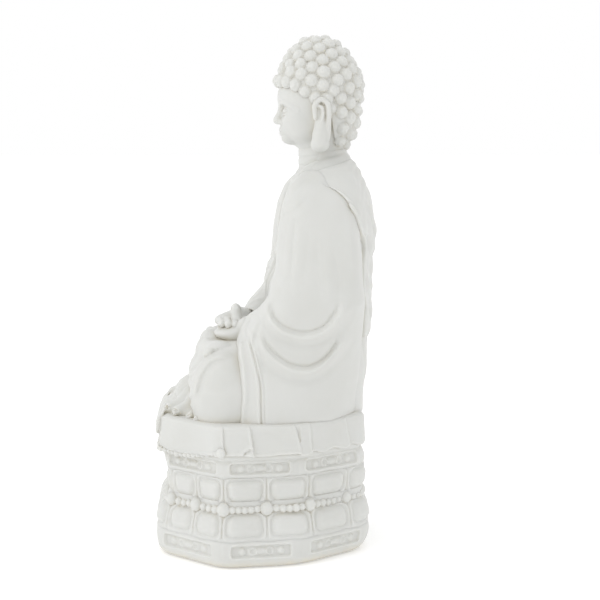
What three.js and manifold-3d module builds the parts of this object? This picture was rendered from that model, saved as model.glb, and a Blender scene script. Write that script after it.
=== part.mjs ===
// Seated Buddha on an octagonal Sumeru lotus throne, as a bench assembly of cast pieces.
// Millimetres, +Z up, the figure faces -Y, its left hand is towards +X.
import * as THREE from "three";
import { mergeVertices } from "three/addons/utils/BufferGeometryUtils.js";
import Module from "manifold-3d";

// ---------------------------------------------------------------- driving dimensions
const GAP = 0.35; // bond line between two castings
const HEIGHT = 299.6; // overall height, top curl to base
// Throne plan, one half, at its widest: front corner, side front corner, side back corner, back corner.
const PLAN = [[38, -61.3], [75, -24.5], [69, 21.5], [36, 60.6]];
const Z_PLINTH = 17.2; // top of the plinth tier
const Z_LOWER_PETALS = 29.8; // top of the down-turned petals
const Z_BEADS = 33.7; // centre of the bead garland
const Z_UPPER_PETALS = 37.6; // foot of the up-turned petals
const Z_BAND = 50.6; // top of the up-turned petals, foot of the panelled band
const Z_CLOTH = 64.2; // hem of the seat cloth
const Z_SEAT = 81.0; // top of the seat cloth
const DRUM_INSET = 14; // the drum the petal rings slide over
const HOLLOW = { a: 46, b: 34, top: 70 }; // elliptical hollow of the throne
const PLATE = 2.0; // closing plate under the hollow
const BIG_BEAD = 3.4, SMALL_BEAD = 1.9, CORD = 0.9;
const CURL = 6.8; // spacing of the hair curls
const CURL_RISE = 1.9; // how far a curl stands out
const PIN = { r: 3, clear: 0.1 };

const wasm = await Module();
wasm.setup();
const { Manifold, Mesh } = wasm;

// ---------------------------------------------------------------- helpers
function solid(geometry) {
  const g = geometry.clone();
  g.deleteAttribute("normal");
  g.deleteAttribute("uv");
  const m = mergeVertices(g, 1e-4);
  const made = new Manifold(new Mesh({
    numProp: 3,
    vertProperties: new Float32Array(m.attributes.position.array),
    triVerts: new Uint32Array(m.index.array),
  }));
  return made;
}

function geometryOf(s) {
  const m = s.getMesh(), v = new Float32Array(m.numVert * 3);
  for (let i = 0; i < m.numVert; i++) v.set(m.vertProperties.subarray(i * m.numProp, i * m.numProp + 3), i * 3);
  const g = new THREE.BufferGeometry();
  g.setAttribute("position", new THREE.BufferAttribute(v, 3));
  g.setIndex(new THREE.BufferAttribute(new Uint32Array(m.triVerts), 1));
  return g;
}

const largest = (s) => s.decompose().sort((a, b) => b.volume() - a.volume())[0];

// A closed skin through rings of equal length, lowest first, each counter-clockwise seen from +Z.
function loft(rings) {
  const n = rings[0].length, pos = [], idx = [];
  rings.forEach((r) => r.forEach((p) => pos.push(...p)));
  const mid = (r) => r.reduce((s, p) => [s[0] + p[0] / n, s[1] + p[1] / n, s[2] + p[2] / n], [0, 0, 0]);
  for (let k = 0; k + 1 < rings.length; k++)
    for (let i = 0; i < n; i++) {
      const j = (i + 1) % n, a = k * n + i, b = k * n + j, c = a + n, d = b + n;
      idx.push(a, b, d, a, d, c);
    }
  const low = pos.length / 3;
  pos.push(...mid(rings[0]), ...mid(rings[rings.length - 1]));
  const top = (rings.length - 1) * n;
  for (let i = 0; i < n; i++) {
    const j = (i + 1) % n;
    idx.push(low, j, i, low + 1, top + i, top + j);
  }
  const g = new THREE.BufferGeometry();
  g.setAttribute("position", new THREE.Float32BufferAttribute(pos, 3));
  g.setIndex(idx);
  return solid(g);
}

// A superellipse ring at one height.
function oval(cx, cy, z, a, b, e = 2.4, n = 28) {
  const out = [];
  for (let i = 0; i < n; i++) {
    const t = (2 * Math.PI * i) / n, c = Math.cos(t), s = Math.sin(t);
    out.push([
      cx + a * Math.sign(c) * Math.abs(c) ** (2 / e),
      cy + b * Math.sign(s) * Math.abs(s) ** (2 / e),
      z,
    ]);
  }
  return out;
}
const ovals = (rows, g = 0, e = 2.4, n = 22) =>
  loft(rows.map(([z, cx, cy, a, b], i) =>
    oval(cx, cy, i === 0 ? z - g : i === rows.length - 1 ? z + g : z, a + g, b + g, e, n)));

// A rounded pebble: a sphere scaled to its three radii, turned, then placed.
function pebble([x, y, z], [a, b, c], turn = [0, 0, 0], w = 20, h = 12) {
  const g = new THREE.SphereGeometry(1, w, h);
  g.scale(a, b, c);
  g.rotateX(turn[0]).rotateY(turn[1]).rotateZ(turn[2]);
  g.translate(x, y, z);
  return solid(g);
}
function bar([x0, y0, z0], [x1, y1, z1]) {
  const g = new THREE.BoxGeometry(x1 - x0, y1 - y0, z1 - z0);
  g.translate((x0 + x1) / 2, (y0 + y1) / 2, (z0 + z1) / 2);
  return solid(g);
}
function rod([x, y, z0], z1, r, n = 14) {
  const g = new THREE.CylinderGeometry(r, r, z1 - z0, n);
  g.rotateX(Math.PI / 2);
  g.translate(x, y, (z0 + z1) / 2);
  return solid(g);
}
// A limb between two points, round, of two radii.
function limb(p, q, r0, r1, n = 12, base = true) {
  const a = new THREE.Vector3(...p), b = new THREE.Vector3(...q), d = b.clone().sub(a);
  const g = new THREE.CylinderGeometry(r1, r0, d.length(), n, 1);
  g.translate(0, d.length() / 2, 0);
  g.applyQuaternion(new THREE.Quaternion().setFromUnitVectors(new THREE.Vector3(0, 1, 0), d.clone().normalize()));
  g.translate(...p);
  const h = Math.max(4, Math.round(n * 0.55)), made = solid(g).add(pebble(q, [r1, r1, r1], [0, 0, 0], n, h));
  return base ? made.add(pebble(p, [r0, r0, r0], [0, 0, 0], n, h)) : made;
}
const all = (list) => list.reduce((a, b) => a.add(b));

// ---------------------------------------------------------------- the throne's plan
// The octagon inset by d on every side, with each corner cut back twice so that it reads as rounded.
function plan(d, round = 5) {
  const right = PLAN, left = PLAN.map(([x, y]) => [-x, y]).reverse();
  const p = [...right, ...left]; // counter-clockwise seen from +Z
  const n = p.length, lines = p.map((a, i) => {
    const b = p[(i + 1) % n], l = Math.hypot(b[0] - a[0], b[1] - a[1]);
    const u = [(b[0] - a[0]) / l, (b[1] - a[1]) / l];
    return { a: [a[0] - u[1] * d, a[1] + u[0] * d], u };
  });
  const corners = lines.map((l, i) => {
    const k = lines[(i + n - 1) % n], det = k.u[0] * l.u[1] - k.u[1] * l.u[0];
    const t = ((l.a[0] - k.a[0]) * l.u[1] - (l.a[1] - k.a[1]) * l.u[0]) / det;
    return [k.a[0] + k.u[0] * t, k.a[1] + k.u[1] * t];
  });
  const out = [];
  corners.forEach((c, i) => {
    const back = lines[(i + n - 1) % n].u, on = lines[i].u;
    const a = [c[0] - back[0] * round, c[1] - back[1] * round], b = [c[0] + on[0] * round, c[1] + on[1] * round];
    out.push(a, [(a[0] + 2 * c[0] + b[0]) / 4, (a[1] + 2 * c[1] + b[1]) / 4], b);
  });
  return out;
}
const tier = (rows, round) => loft(rows.map(([z, d]) => plan(d, round).map(([x, y]) => [x, y, z])));

// The sixteen half faces of the plan inset by d, each from a petal seam to the next, counter-clockwise.
// Seams lie at the corners, which are drawn in by "soften", and at the middles of the faces.
function halves(d, soften = 1.5) {
  const c = plan(d, 0).filter((_, i) => i % 3 === 0), n = c.length;
  const pulled = c.map((p, i) => {
    const a = c[(i + n - 1) % n], b = c[(i + 1) % n];
    const v = [a[0] + b[0] - 2 * p[0], a[1] + b[1] - 2 * p[1]], l = Math.hypot(...v);
    return [p[0] + (v[0] / l) * soften, p[1] + (v[1] / l) * soften];
  });
  const out = [];
  c.forEach((p, i) => {
    const q = c[(i + 1) % n], m = [(p[0] + q[0]) / 2, (p[1] + q[1]) / 2];
    out.push([pulled[i], m], [m, pulled[(i + 1) % n]]);
  });
  return out;
}
const lerp = (a, b, t) => [a[0] + (b[0] - a[0]) * t, a[1] + (b[1] - a[1]) * t];

// A string of beads: one closed skin swelling at each bead along stations [x, y, z, r].
function string(stations, closed, sides = 5) {
  const n = stations.length, pos = [], idx = [];
  stations.forEach(([x, y, z, r], i) => {
    const a = stations[closed ? (i + n - 1) % n : Math.max(0, i - 1)], b = stations[closed ? (i + 1) % n : Math.min(n - 1, i + 1)];
    const t = [b[0] - a[0], b[1] - a[1]], l = Math.hypot(...t), side = [t[1] / l, -t[0] / l];
    for (let k = 0; k < sides; k++) {
      const w = (2 * Math.PI * k) / sides;
      pos.push(x + side[0] * r * Math.cos(w), y + side[1] * r * Math.cos(w), z + r * Math.sin(w));
    }
  });
  for (let i = 0; i < (closed ? n : n - 1); i++)
    for (let k = 0; k < sides; k++) {
      const a = i * sides + k, b = i * sides + ((k + 1) % sides), j = (i + 1) % n, c = j * sides + k, d = j * sides + ((k + 1) % sides);
      idx.push(a, c, d, a, d, b);
    }
  if (!closed)
    for (let k = 1; k + 1 < sides; k++) {
      const e = (n - 1) * sides;
      idx.push(0, k, k + 1, e, e + k + 1, e + k);
    }
  const g = new THREE.BufferGeometry();
  g.setAttribute("position", new THREE.Float32BufferAttribute(pos, 3));
  g.setIndex(idx);
  return solid(g);
}

// ---------------------------------------------------------------- throne
const hollow = (() => {
  const g = new THREE.CylinderGeometry(1, 1, HOLLOW.top + 10, 24);
  g.rotateX(Math.PI / 2);
  g.scale(HOLLOW.a, HOLLOW.b, 1);
  g.translate(0, 0, HOLLOW.top / 2 - 5);
  return solid(g);
})();
const plateAt = (g) => {
  const c = new THREE.CylinderGeometry(1, 1, PLATE + g, 24);
  c.rotateX(Math.PI / 2);
  c.scale(HOLLOW.a + 5 + g, HOLLOW.b + 5 + g, 1);
  c.translate(0, 0, (PLATE + g) / 2);
  return solid(c);
};
const closing_plate = plateAt(0);

// Sunk panels in the faces of a band, between two heights.
function panels(z0, z1, inset, depth) {
  const p = [...PLAN, ...PLAN.map(([x, y]) => [-x, y]).reverse()], cuts = [];
  p.forEach((a, i) => {
    const b = p[(i + 1) % p.length], l = Math.hypot(b[0] - a[0], b[1] - a[1]);
    const g = new THREE.BoxGeometry(l * 0.68, depth * 2, z1 - z0);
    g.translate(0, 0, (z0 + z1) / 2);
    g.rotateZ(Math.atan2(b[1] - a[1], b[0] - a[0]));
    const u = [(b[0] - a[0]) / l, (b[1] - a[1]) / l];
    g.translate((a[0] + b[0]) / 2 - u[1] * inset, (a[1] + b[1]) / 2 + u[0] * inset, 0);
    cuts.push(solid(g));
  });
  return all(cuts);
}

const plinth = tier([[0, 3.4], [2.2, 1.4], [6, 0.2], [10, 0], [15, 0.3], [Z_PLINTH, 1.4]], 4)
  .subtract(panels(6.6, 13.4, 0, 1.3))
  .subtract(hollow)
  .subtract(plateAt(GAP).translate(0, 0, -0.01));

// The drum that carries both petal rings.
const throne_waist = tier([[Z_PLINTH + GAP, DRUM_INSET], [Z_BAND - GAP, DRUM_INSET]], 5).subtract(hollow);

// The bead garland round the waist: a large bead at each petal seam and small ones between.
const SMALL = 4;
const bead_garland = (() => {
  const st = [];
  halves(4.6, 1.8).forEach(([a, b]) => {
    const l = Math.hypot(b[0] - a[0], b[1] - a[1]), at = (mm, r) => st.push([...lerp(a, b, mm / l), Z_BEADS, r]);
    at(0, BIG_BEAD);
    at(BIG_BEAD * 0.72, BIG_BEAD * 0.66);
    const s0 = BIG_BEAD, pitch = (l - 2 * s0) / SMALL;
    for (let k = 0; k < SMALL; k++) {
      if (k) at(s0 + pitch * k, CORD);
      at(s0 + pitch * (k + 0.5), SMALL_BEAD);
    }
    at(l - BIG_BEAD * 0.72, BIG_BEAD * 0.66);
  });
  return string(st, true);
})();

// A ring of petals: the plan swelled over each petal and drawn in at each seam.
const PETAL = [[0, 0], [0.1, 0.8], [0.34, 1], [0.66, 1], [0.9, 0.8]];
function petals(rows, marks = PETAL) {
  return loft(rows.map(([z, d, swell, soft = 1.5]) => {
    const inner = halves(d + swell, soft), outer = halves(d, soft), r = [];
    inner.forEach(([a, b], i) => marks.forEach(([t, k]) => {
      const p = lerp(a, b, t), q = lerp(...outer[i], t);
      r.push([...lerp(p, q, k), z]);
    }));
    return r;
  }));
}
const drumHole = tier([[Z_PLINTH - 5, DRUM_INSET - GAP], [Z_BAND + 5, DRUM_INSET - GAP]], 5);
const lower_petal_ring = largest(
  petals([[Z_PLINTH + GAP, 1.4, 1.0], [20.5, 0.6, 1.5], [25.5, 2.0, 1.6], [Z_LOWER_PETALS, 7.0, 1.2]]).subtract(drumHole));
const upper_petal_ring = largest(
  petals([[Z_UPPER_PETALS, 7.4, 1.2], [41.5, 3.6, 1.6], [46.5, 2.4, 1.6], [Z_BAND - GAP, 3.0, 0.8]]).subtract(drumHole));

// The panelled band, with the seat block that the cloth covers.
const seat_pins = [[-26, 22], [26, 22]];
const sockets = all(seat_pins.map(([x, y]) => rod([x, y, Z_SEAT - 9], Z_SEAT + 12, PIN.r + PIN.clear)));
const upper_tier = tier([[Z_BAND, 3.6], [52.2, 2.4], [59.6, 2.2], [60.0, 4.6], [Z_SEAT - 2.6, 4.6]], 5)
  .subtract(panels(53.2, 58.8, 2.3, 1.2))
  .subtract(hollow).subtract(sockets);

// The cloth laid over the seat, a cap with a skirt that swells as it falls.
const PLEAT = [[0, 0.2], [0.16, 1], [0.38, 0.1], [0.6, 1], [0.8, 0.3]];
const clothOuter = () => petals([
  [Z_CLOTH, 0.6, 1.6, 2.6], [68.5, 0.5, 1.5, 2.6], [74.5, 0.5, 1.1, 2.6], [78.6, 1.6, 0.6, 2.6], [Z_SEAT, 4.6, 0.2, 3],
], PLEAT);
const seat_cloth = largest(clothOuter()
  .subtract(tier([[Z_CLOTH - 3, 4.6 - GAP], [Z_SEAT - 2.6 + GAP, 4.6 - GAP]], 5)).subtract(sockets));

// Bead trim under the cloth's hem, across the front and both front corners, a large bead at each end.
const hem_beads = (() => {
  const side = halves(2.4, 1.2), run = [12, 13, 14, 15, 0, 1].map((i) => side[i]);
  const line = [...run.map((h) => h[0]), run[run.length - 1][1]], st = [];
  const z = Z_CLOTH - 0.4 - 1.65;
  line.slice(0, -1).forEach((a, i) => {
    const b = line[i + 1], l = Math.hypot(b[0] - a[0], b[1] - a[1]), n = Math.max(1, Math.round(l / 4.6));
    for (let k = 0; k < n; k++) {
      st.push([...lerp(a, b, k / n), z, 0.8]);
      st.push([...lerp(a, b, (k + 0.5) / n), z, 1.6]);
    }
  });
  st.push([...line[line.length - 1], z, 0.8]);
  return string(st, false);
})();

// ---------------------------------------------------------------- figure
const Z0 = Z_SEAT + GAP;
const Z_COLLAR = 229; // where the neck leaves the robe
const torsoAt = (g = 0) => ovals([
  [Z0, 0, 25, 47, 35], [100, 0, 27, 45, 34], [130, 0, 34, 43, 31], [160, 0, 36, 41, 30],
  [185, 0, 37.5, 42, 29], [201, 0, 38, 40, 26.5], [211, 0, 37.8, 34.5, 23], [219, 0, 37.4, 25, 19.5], [225, 0, 37.2, 18, 17], [Z_COLLAR, 0, 37, 15.4, 15.4],
], g);
const sleeveAt = (s, g = 0) => ovals([
  [Z0, s * 48, 23, 20.5, 37], [95, s * 48, 23, 20.5, 37], [112, s * 46, 22.5, 20, 36], [124, s * 44.5, 22.5, 19.5, 35],
  [134, s * 43, 24, 19, 31.5], [146, s * 41.5, 28, 18.5, 26], [172, s * 38, 31, 18.5, 22.5], [194, s * 35, 33, 18, 20.5], [207, s * 32, 34, 14.5, 17], [215, s * 27, 35, 8, 11],
], g)
  .add(limb([s * 44, 3, 132], [s * 20, -7, 129], 11.5 + g, 9.5 + g, 10));
const kneeAt = (s, g = 0) => pebble([s * 46, -19, 98], [24 + g, 22 + g, 19.5 + g], [0, 0, s * 0.35], 16, 9);
const legsAt = (g = 0) => all([
  kneeAt(1, g), kneeAt(-1, g),
  pebble([0, -20, 101], [44 + g, 22 + g, 21 + g], [0, 0, 0], 18, 8),
  pebble([0, -20, 92], [60 + g, 28 + g, 16 + g], [0, 0, 0], 18, 8),
]);
const floorCut = bar([-120, -120, -50], [120, 120, Z0]);

const torso = largest(torsoAt().subtract(sockets).subtract(rod([0, 37, 209], 240, PIN.r + PIN.clear)));
const torsoGrown = torsoAt(GAP);
const drapeRegion = bar([-6, 44, 120], [44, 80, 221]);
const left_sleeve = largest(sleeveAt(1).subtract(torsoGrown));
const right_sleeve = largest(sleeveAt(-1).subtract(torsoGrown));
const sleevesGrown = sleeveAt(1, GAP).add(sleeveAt(-1, GAP));
const back_drape = largest(torsoAt(2.4).intersect(drapeRegion).subtract(torsoGrown).subtract(sleevesGrown));

const bodyGrown = torsoGrown.add(sleevesGrown);
const crossed_legs = largest(legsAt().subtract(floorCut).subtract(bodyGrown));
const legsGrown = legsAt(GAP);

// The robe's pleated hem fanned out on the seat in front of the shins.
const fanAt = (g = 0) => {
  const rows = [[Z0, 45, 23.5], [86, 44, 24], [92, 40, 21], [98, 33, 16]];
  return loft(rows.map(([z, a, b], k) => {
    const n = 48, r = [];
    for (let i = 0; i < n; i++) {
      const t = (2 * Math.PI * i) / n, w = i % 4 < 2 ? 0 : -1.2;
      r.push([(a + g + w) * Math.cos(t), -34.6 + (b + g + w) * Math.sin(t), z]);
    }
    return r;
  }));
};
const robe_hem_fan = largest(fanAt().subtract(legsGrown).subtract(bodyGrown));

// Hands in the lap, palms up, the right on the left, thumb tips raised and nearly touching.
const handAt = (s, z, g = 0) => all([
  pebble([s * 8, -15, z], [15 + g, 10 + g, 4.2 + g], [0, 0, 0], 12, 6),
  limb([s * 14, -11, z], [s * 21, -8, z], 5.5 + g, 6 + g, 7, false),
  ...[0, 1, 2, 3].map((k) => limb([-s * 2, -9.5 - k * 4, z], [-s * 14, -10.5 - k * 3.6, z + 0.8], 2.3 + g, 1.8 + g, 6, false)),
]);
const thumb = (s, g = 0) => limb([s * 11, -13, 135], [s * 2.6, -14, 139.6], 2.4 + g, 1.9 + g, 6);
const lapGrown = bodyGrown.add(legsGrown);
const leftHand = (g) => handAt(1, 125.8, g).add(thumb(1, g)).add(limb([11, -13, 127], [11, -13, 135], 2.6 + g, 2.4 + g, 6));
const left_hand = largest(leftHand(0).subtract(lapGrown));
const right_hand = largest(handAt(-1, 131.8).add(thumb(-1)).subtract(leftHand(GAP)).subtract(lapGrown));

// Head: neck, jaw, cranium and long-lobed ears in one casting.
const headAt = (g = 0) => all([
  ovals([[Z_COLLAR + GAP, 0, 37, 15.2, 15.2], [236, 0, 37, 14.6, 15], [248, 0, 36.6, 14.6, 15.4]], g, 2, 14),
  pebble([0, 34.6, 266], [20 + g, 22.6 + g, 24 + g], [0, 0, 0], 18, 10),
  pebble([0, 29, 254.5], [17.2 + g, 15.4 + g, 19.5 + g], [0, 0, 0], 18, 12),
]);
const ear = (s, g = 0) => pebble([s * 20.6, 33, 257], [2.6 + g, 5.2 + g, 8.4 + g], [0, 0, 0], 8, 6)
  .add(pebble([s * 19.6, 32, 243.6], [2.4 + g, 3.8 + g, 8.6 + g], [0, 0, 0], 8, 6));
// Plain, even features by thirds of the face: brow, foot of the nose and chin evenly spaced below the hair.
const FACE = { brow: 258, nose: 247.2, mouth: 242.8, eye: 255.2 };
const features = all([
  limb([0, 14.2, FACE.brow - 1], [0, 11.4, FACE.nose + 1.6], 1.5, 2.4, 6),
  ...[1, -1].map((s) => pebble([s * 6.8, 15.2, FACE.eye], [3.6, 2.0, 1.7], [0, 0, s * 0.35], 8, 5)),
  ...[1, -1].map((s) => pebble([s * 7, 15.4, FACE.brow], [5.2, 2.0, 1.0], [0, 0, s * 0.35], 8, 5)),
  pebble([0, 14.2, FACE.mouth + 0.7], [4.4, 1.8, 1.0], [0, 0, 0], 8, 5), pebble([0, 14.6, FACE.mouth - 0.9], [3.7, 1.8, 1.2], [0, 0, 0], 8, 5),
]);
const pinHole = rod([0, 37, 200], 245, PIN.r + PIN.clear);
const urna = solid(new THREE.IcosahedronGeometry(1.5, 1).translate(0, 12.6, 262.6));
const head = largest(all([headAt(), features, ear(1), ear(-1)]).subtract(pinHole)
  .subtract(solid(new THREE.IcosahedronGeometry(1.5 + GAP, 1).translate(0, 12.6, 262.6))));
const headGrown = all([headAt(GAP), ear(1, GAP), ear(-1, GAP)]);

// Hair: a dome over the cranium and its crown bump, whose skin rises at each curl and dips between.
// Radius of the smooth dome at a height, from the side (Y) and across (X) semi-axes of the two swells.
const SWELLS = [{ z: 268.5, r: [22, 24, 24.5] }, { z: 283, r: [13, 14, 13.6] }];
const domeAt = (z) => SWELLS.reduce((best, e) => {
  const t = (z - e.z) / e.r[2], k = t * t < 1 ? Math.sqrt(1 - t * t) : 0;
  return [Math.max(best[0], e.r[0] * k), Math.max(best[1], e.r[1] * k)];
}, [0, 0]);
const DOME_Y = 35;
const hair_cap = (() => {
  const top = SWELLS[1].z + SWELLS[1].r[2], rings = [], pos = [], idx = [];
  // Rows of curls from the nape up, spaced evenly along the dome's side.
  let z = 236, step = 0.05, gone = 0, row = 0, last = domeAt(z);
  const zs = [];
  const CURL_ROWS = [0.3, 0.4, 0.3]; // dip to shoulder, shoulder to shoulder, shoulder to dip
  for (; z < top; z += step) {
    const here = domeAt(z);
    gone += Math.hypot(step, here[1] - last[1]);
    last = here;
    if (gone >= CURL * CURL_ROWS[zs.length % 3]) { zs.push(z); gone = 0; }
  }
  zs.forEach((h, i) => {
    const [a, b] = domeAt(zs[3 * Math.floor(i / 3) + 1] ?? h), curls = Math.max(5, Math.round((Math.PI * (a + b)) / CURL));
    const [p, q] = domeAt(h), slope = (h - (h > 281 ? 283 : 268.5)) / (h > 281 ? 13.6 : 24.5), out = Math.sqrt(Math.max(0, 1 - slope * slope));
    const raised = i % 3 > 0, row = Math.floor(i / 3), ring = [];
    for (let k = 0; k < (raised ? curls * 3 : curls); k++) {
      const step = raised ? Math.floor(k / 3) + [0, 0.3, 0.7][k % 3] : k, up = raised && k % 3 ? CURL_RISE : 0;
      const t = (2 * Math.PI * (step + (row % 2) / 2)) / curls;
      ring.push({ t: t % (2 * Math.PI), p: [(p + up * out) * Math.cos(t), DOME_Y + (q + up * out) * Math.sin(t), h + up * slope] });
    }
    ring.sort((p, q) => p.t - q.t);
    ring.first = pos.length / 3;
    ring.forEach((v) => pos.push(...v.p));
    rings.push(ring);
  });
  // Stitch each ring to the next, always stepping along the one that lags behind.
  for (let k = 0; k + 1 < rings.length; k++) {
    const A = rings[k], B = rings[k + 1], T = (r, i) => r[i % r.length].t + (i >= r.length ? 2 * Math.PI : 0);
    let i = 0, j = 0;
    while (i < A.length || j < B.length) {
      const a = A.first + (i % A.length), b = B.first + (j % B.length);
      if (j >= B.length || (i < A.length && T(A, i + 1) <= T(B, j + 1))) {
        idx.push(a, A.first + ((i + 1) % A.length), b);
        i++;
      } else {
        idx.push(a, B.first + ((j + 1) % B.length), b);
        j++;
      }
    }
  }
  const low = pos.length / 3, A = rings[0], B = rings[rings.length - 1];
  pos.push(0, DOME_Y, zs[0], 0, DOME_Y, HEIGHT);
  A.forEach((_, i) => idx.push(low, A.first + ((i + 1) % A.length), A.first + i));
  B.forEach((_, i) => idx.push(low + 1, B.first + i, B.first + ((i + 1) % B.length)));
  const g = new THREE.BufferGeometry();
  g.setAttribute("position", new THREE.Float32BufferAttribute(pos, 3));
  g.setIndex(idx);
  const cut = all([bar([-60, -40, 150], [60, 20, 267]), bar([-60, -40, 150], [60, 37, 261]), bar([-60, -40, 150], [60, 120, 240])]);
  return largest(solid(g).subtract(cut).subtract(headGrown));
})();

// Steel pins that locate the castings.
const pinAt = (x, y, z0, z1) => rod([x, y, z0], z1, PIN.r);
const neck_pin = pinAt(0, 37, 209.5, 244.5);
const seat_pin_left = pinAt(26, 22, Z_SEAT - 8.5, Z_SEAT + 11.5);
const seat_pin_right = pinAt(-26, 22, Z_SEAT - 8.5, Z_SEAT + 11.5);

// ---------------------------------------------------------------- assembly
const stone = new THREE.MeshStandardMaterial({ color: 0xe9e9e4, roughness: 0.62, metalness: 0 });
const steel = new THREE.MeshStandardMaterial({ color: 0xb8babd, roughness: 0.35, metalness: 1 });
const board = new THREE.MeshStandardMaterial({ color: 0x9a9184, roughness: 0.9, metalness: 0 });

const statue = new THREE.Group();
const throne = new THREE.Group(), figure = new THREE.Group();
statue.add(throne, figure);
const place = (group, name, s, material) => {
  const mesh = new THREE.Mesh(geometryOf(s), material);
  mesh.name = name;
  group.add(mesh);
};
place(throne, "closing_plate", closing_plate, board);
place(throne, "plinth", plinth, stone);
place(throne, "throne_waist", throne_waist, stone);
place(throne, "lower_petal_ring", lower_petal_ring, stone);
place(throne, "bead_garland", bead_garland, stone);
place(throne, "upper_petal_ring", upper_petal_ring, stone);
place(throne, "upper_tier", upper_tier, stone);
place(throne, "seat_cloth", seat_cloth, stone);
place(throne, "hem_beads", hem_beads, stone);
place(throne, "seat_pin_left", seat_pin_left, steel);
place(throne, "seat_pin_right", seat_pin_right, steel);
place(figure, "torso", torso, stone);
place(figure, "left_sleeve", left_sleeve, stone);
place(figure, "right_sleeve", right_sleeve, stone);
place(figure, "back_drape", back_drape, stone);
place(figure, "crossed_legs", crossed_legs, stone);
place(figure, "robe_hem_fan", robe_hem_fan, stone);
place(figure, "left_hand", left_hand, stone);
place(figure, "right_hand", right_hand, stone);
place(figure, "neck_pin", neck_pin, steel);
place(figure, "head", head, stone);
place(figure, "hair_cap", hair_cap, stone);
place(figure, "urna", urna, stone);

// The origin is on the underside, below the middle of the overall box.
const whole = new THREE.Box3().setFromObject(statue), middle = whole.getCenter(new THREE.Vector3());
statue.position.set(-middle.x, -middle.y, -whole.min.z);

export default statue;
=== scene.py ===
import math
import bpy
import numpy as np
from mathutils import Vector, Matrix


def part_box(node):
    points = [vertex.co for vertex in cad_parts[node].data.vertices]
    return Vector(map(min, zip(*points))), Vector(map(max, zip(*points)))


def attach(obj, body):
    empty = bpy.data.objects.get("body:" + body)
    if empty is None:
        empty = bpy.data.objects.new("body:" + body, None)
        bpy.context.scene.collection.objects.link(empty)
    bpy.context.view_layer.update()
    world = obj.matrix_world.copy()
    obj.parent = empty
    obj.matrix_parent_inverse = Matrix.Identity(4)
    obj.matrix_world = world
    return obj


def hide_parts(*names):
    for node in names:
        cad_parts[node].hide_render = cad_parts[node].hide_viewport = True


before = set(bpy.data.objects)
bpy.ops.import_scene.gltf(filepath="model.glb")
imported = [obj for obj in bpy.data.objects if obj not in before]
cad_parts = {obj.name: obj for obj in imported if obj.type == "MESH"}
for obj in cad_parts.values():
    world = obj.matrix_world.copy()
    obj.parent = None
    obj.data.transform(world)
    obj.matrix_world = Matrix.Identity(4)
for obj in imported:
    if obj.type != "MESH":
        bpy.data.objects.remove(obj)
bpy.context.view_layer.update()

# Everything below is sculpted in millimetres about the throne's own axis, then carried into the row frame.
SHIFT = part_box("plinth")[0].y * 1000 + 61.3
FINE, MID = ((0.42, 0.58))
f32 = np.float32


# ------------------------------------------------------------------ distance-field sculpting
def smin(a, b, k):
    if k <= 0:
        return np.minimum(a, b)
    h = np.clip(0.5 + 0.5 * (b - a) / k, 0, 1)
    return b + (a - b) * h - k * h * (1 - h)


def smax(a, b, k):
    return -smin(-a, -b, k)


def step(e0, e1, x):
    t = np.clip((x - e0) / (e1 - e0), 0, 1)
    return t * t * (3 - 2 * t)


def bell(x, w):
    return np.exp(-((x / w) ** 2))


def curve(xs, ys):
    """A smooth curve through points: cubic with finite-difference slopes, flat outside."""
    xs, ys = np.array(xs, float), np.array(ys, float)
    m = np.gradient(ys, xs)

    def at(x):
        x = np.clip(x, xs[0], xs[-1])
        i = np.clip(np.searchsorted(xs, x, side="right") - 1, 0, len(xs) - 2)
        h = xs[i + 1] - xs[i]
        t = (x - xs[i]) / h
        return (
            (2 * t**3 - 3 * t**2 + 1) * ys[i]
            + (t**3 - 2 * t**2 + t) * h * m[i]
            + (-2 * t**3 + 3 * t**2) * ys[i + 1]
            + (t**3 - t**2) * h * m[i + 1]
        ).astype(f32)

    return at


def ell(X, Y, Z, c, r, turn=None):
    x, y, z = X - c[0], Y - c[1], Z - c[2]
    if turn is not None:
        R = np.array(turn, float)
        x, y, z = (
            R[0, 0] * x + R[1, 0] * y + R[2, 0] * z,
            R[0, 1] * x + R[1, 1] * y + R[2, 1] * z,
            R[0, 2] * x + R[1, 2] * y + R[2, 2] * z,
        )
    u, v, w = x / r[0], y / r[1], z / r[2]
    k0 = np.sqrt(u * u + v * v + w * w)
    k1 = np.sqrt((u / r[0]) ** 2 + (v / r[1]) ** 2 + (w / r[2]) ** 2) + 1e-6
    return k0 * (k0 - 1) / k1


def rot(axis, deg):
    return Matrix.Rotation(math.radians(deg), 3, axis)


def cap(X, Y, Z, a, b, ra, rb):
    a, b = np.array(a, float), np.array(b, float)
    d = b - a
    x, y, z = X - a[0], Y - a[1], Z - a[2]
    t = np.clip((x * d[0] + y * d[1] + z * d[2]) / (d @ d), 0, 1)
    return np.sqrt((x - t * d[0]) ** 2 + (y - t * d[1]) ** 2 + (z - t * d[2]) ** 2) - (ra + (rb - ra) * t)


def line2(U, V, pts):
    """Distance in a plane to a polyline, how far along it (0..1), and which side (positive to its left)."""
    pts = np.array(pts, float)
    seg = np.hypot(*(pts[1:] - pts[:-1]).T)
    at = np.concatenate([[0], np.cumsum(seg)]) / seg.sum()
    best = along = side = None
    for i in range(len(seg)):
        a, d = pts[i], pts[i + 1] - pts[i]
        x, y = U - a[0], V - a[1]
        t = np.clip((x * d[0] + y * d[1]) / (d @ d), 0, 1)
        q = np.hypot(x - t * d[0], y - t * d[1])
        s = np.sign(d[0] * y - d[1] * x)
        r = at[i] + (at[i + 1] - at[i]) * t
        if best is None:
            best, along, side = q, r, s
        else:
            m = q < best
            best, along, side = np.where(m, q, best), np.where(m, r, along), np.where(m, s, side)
    return best, along, side


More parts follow.
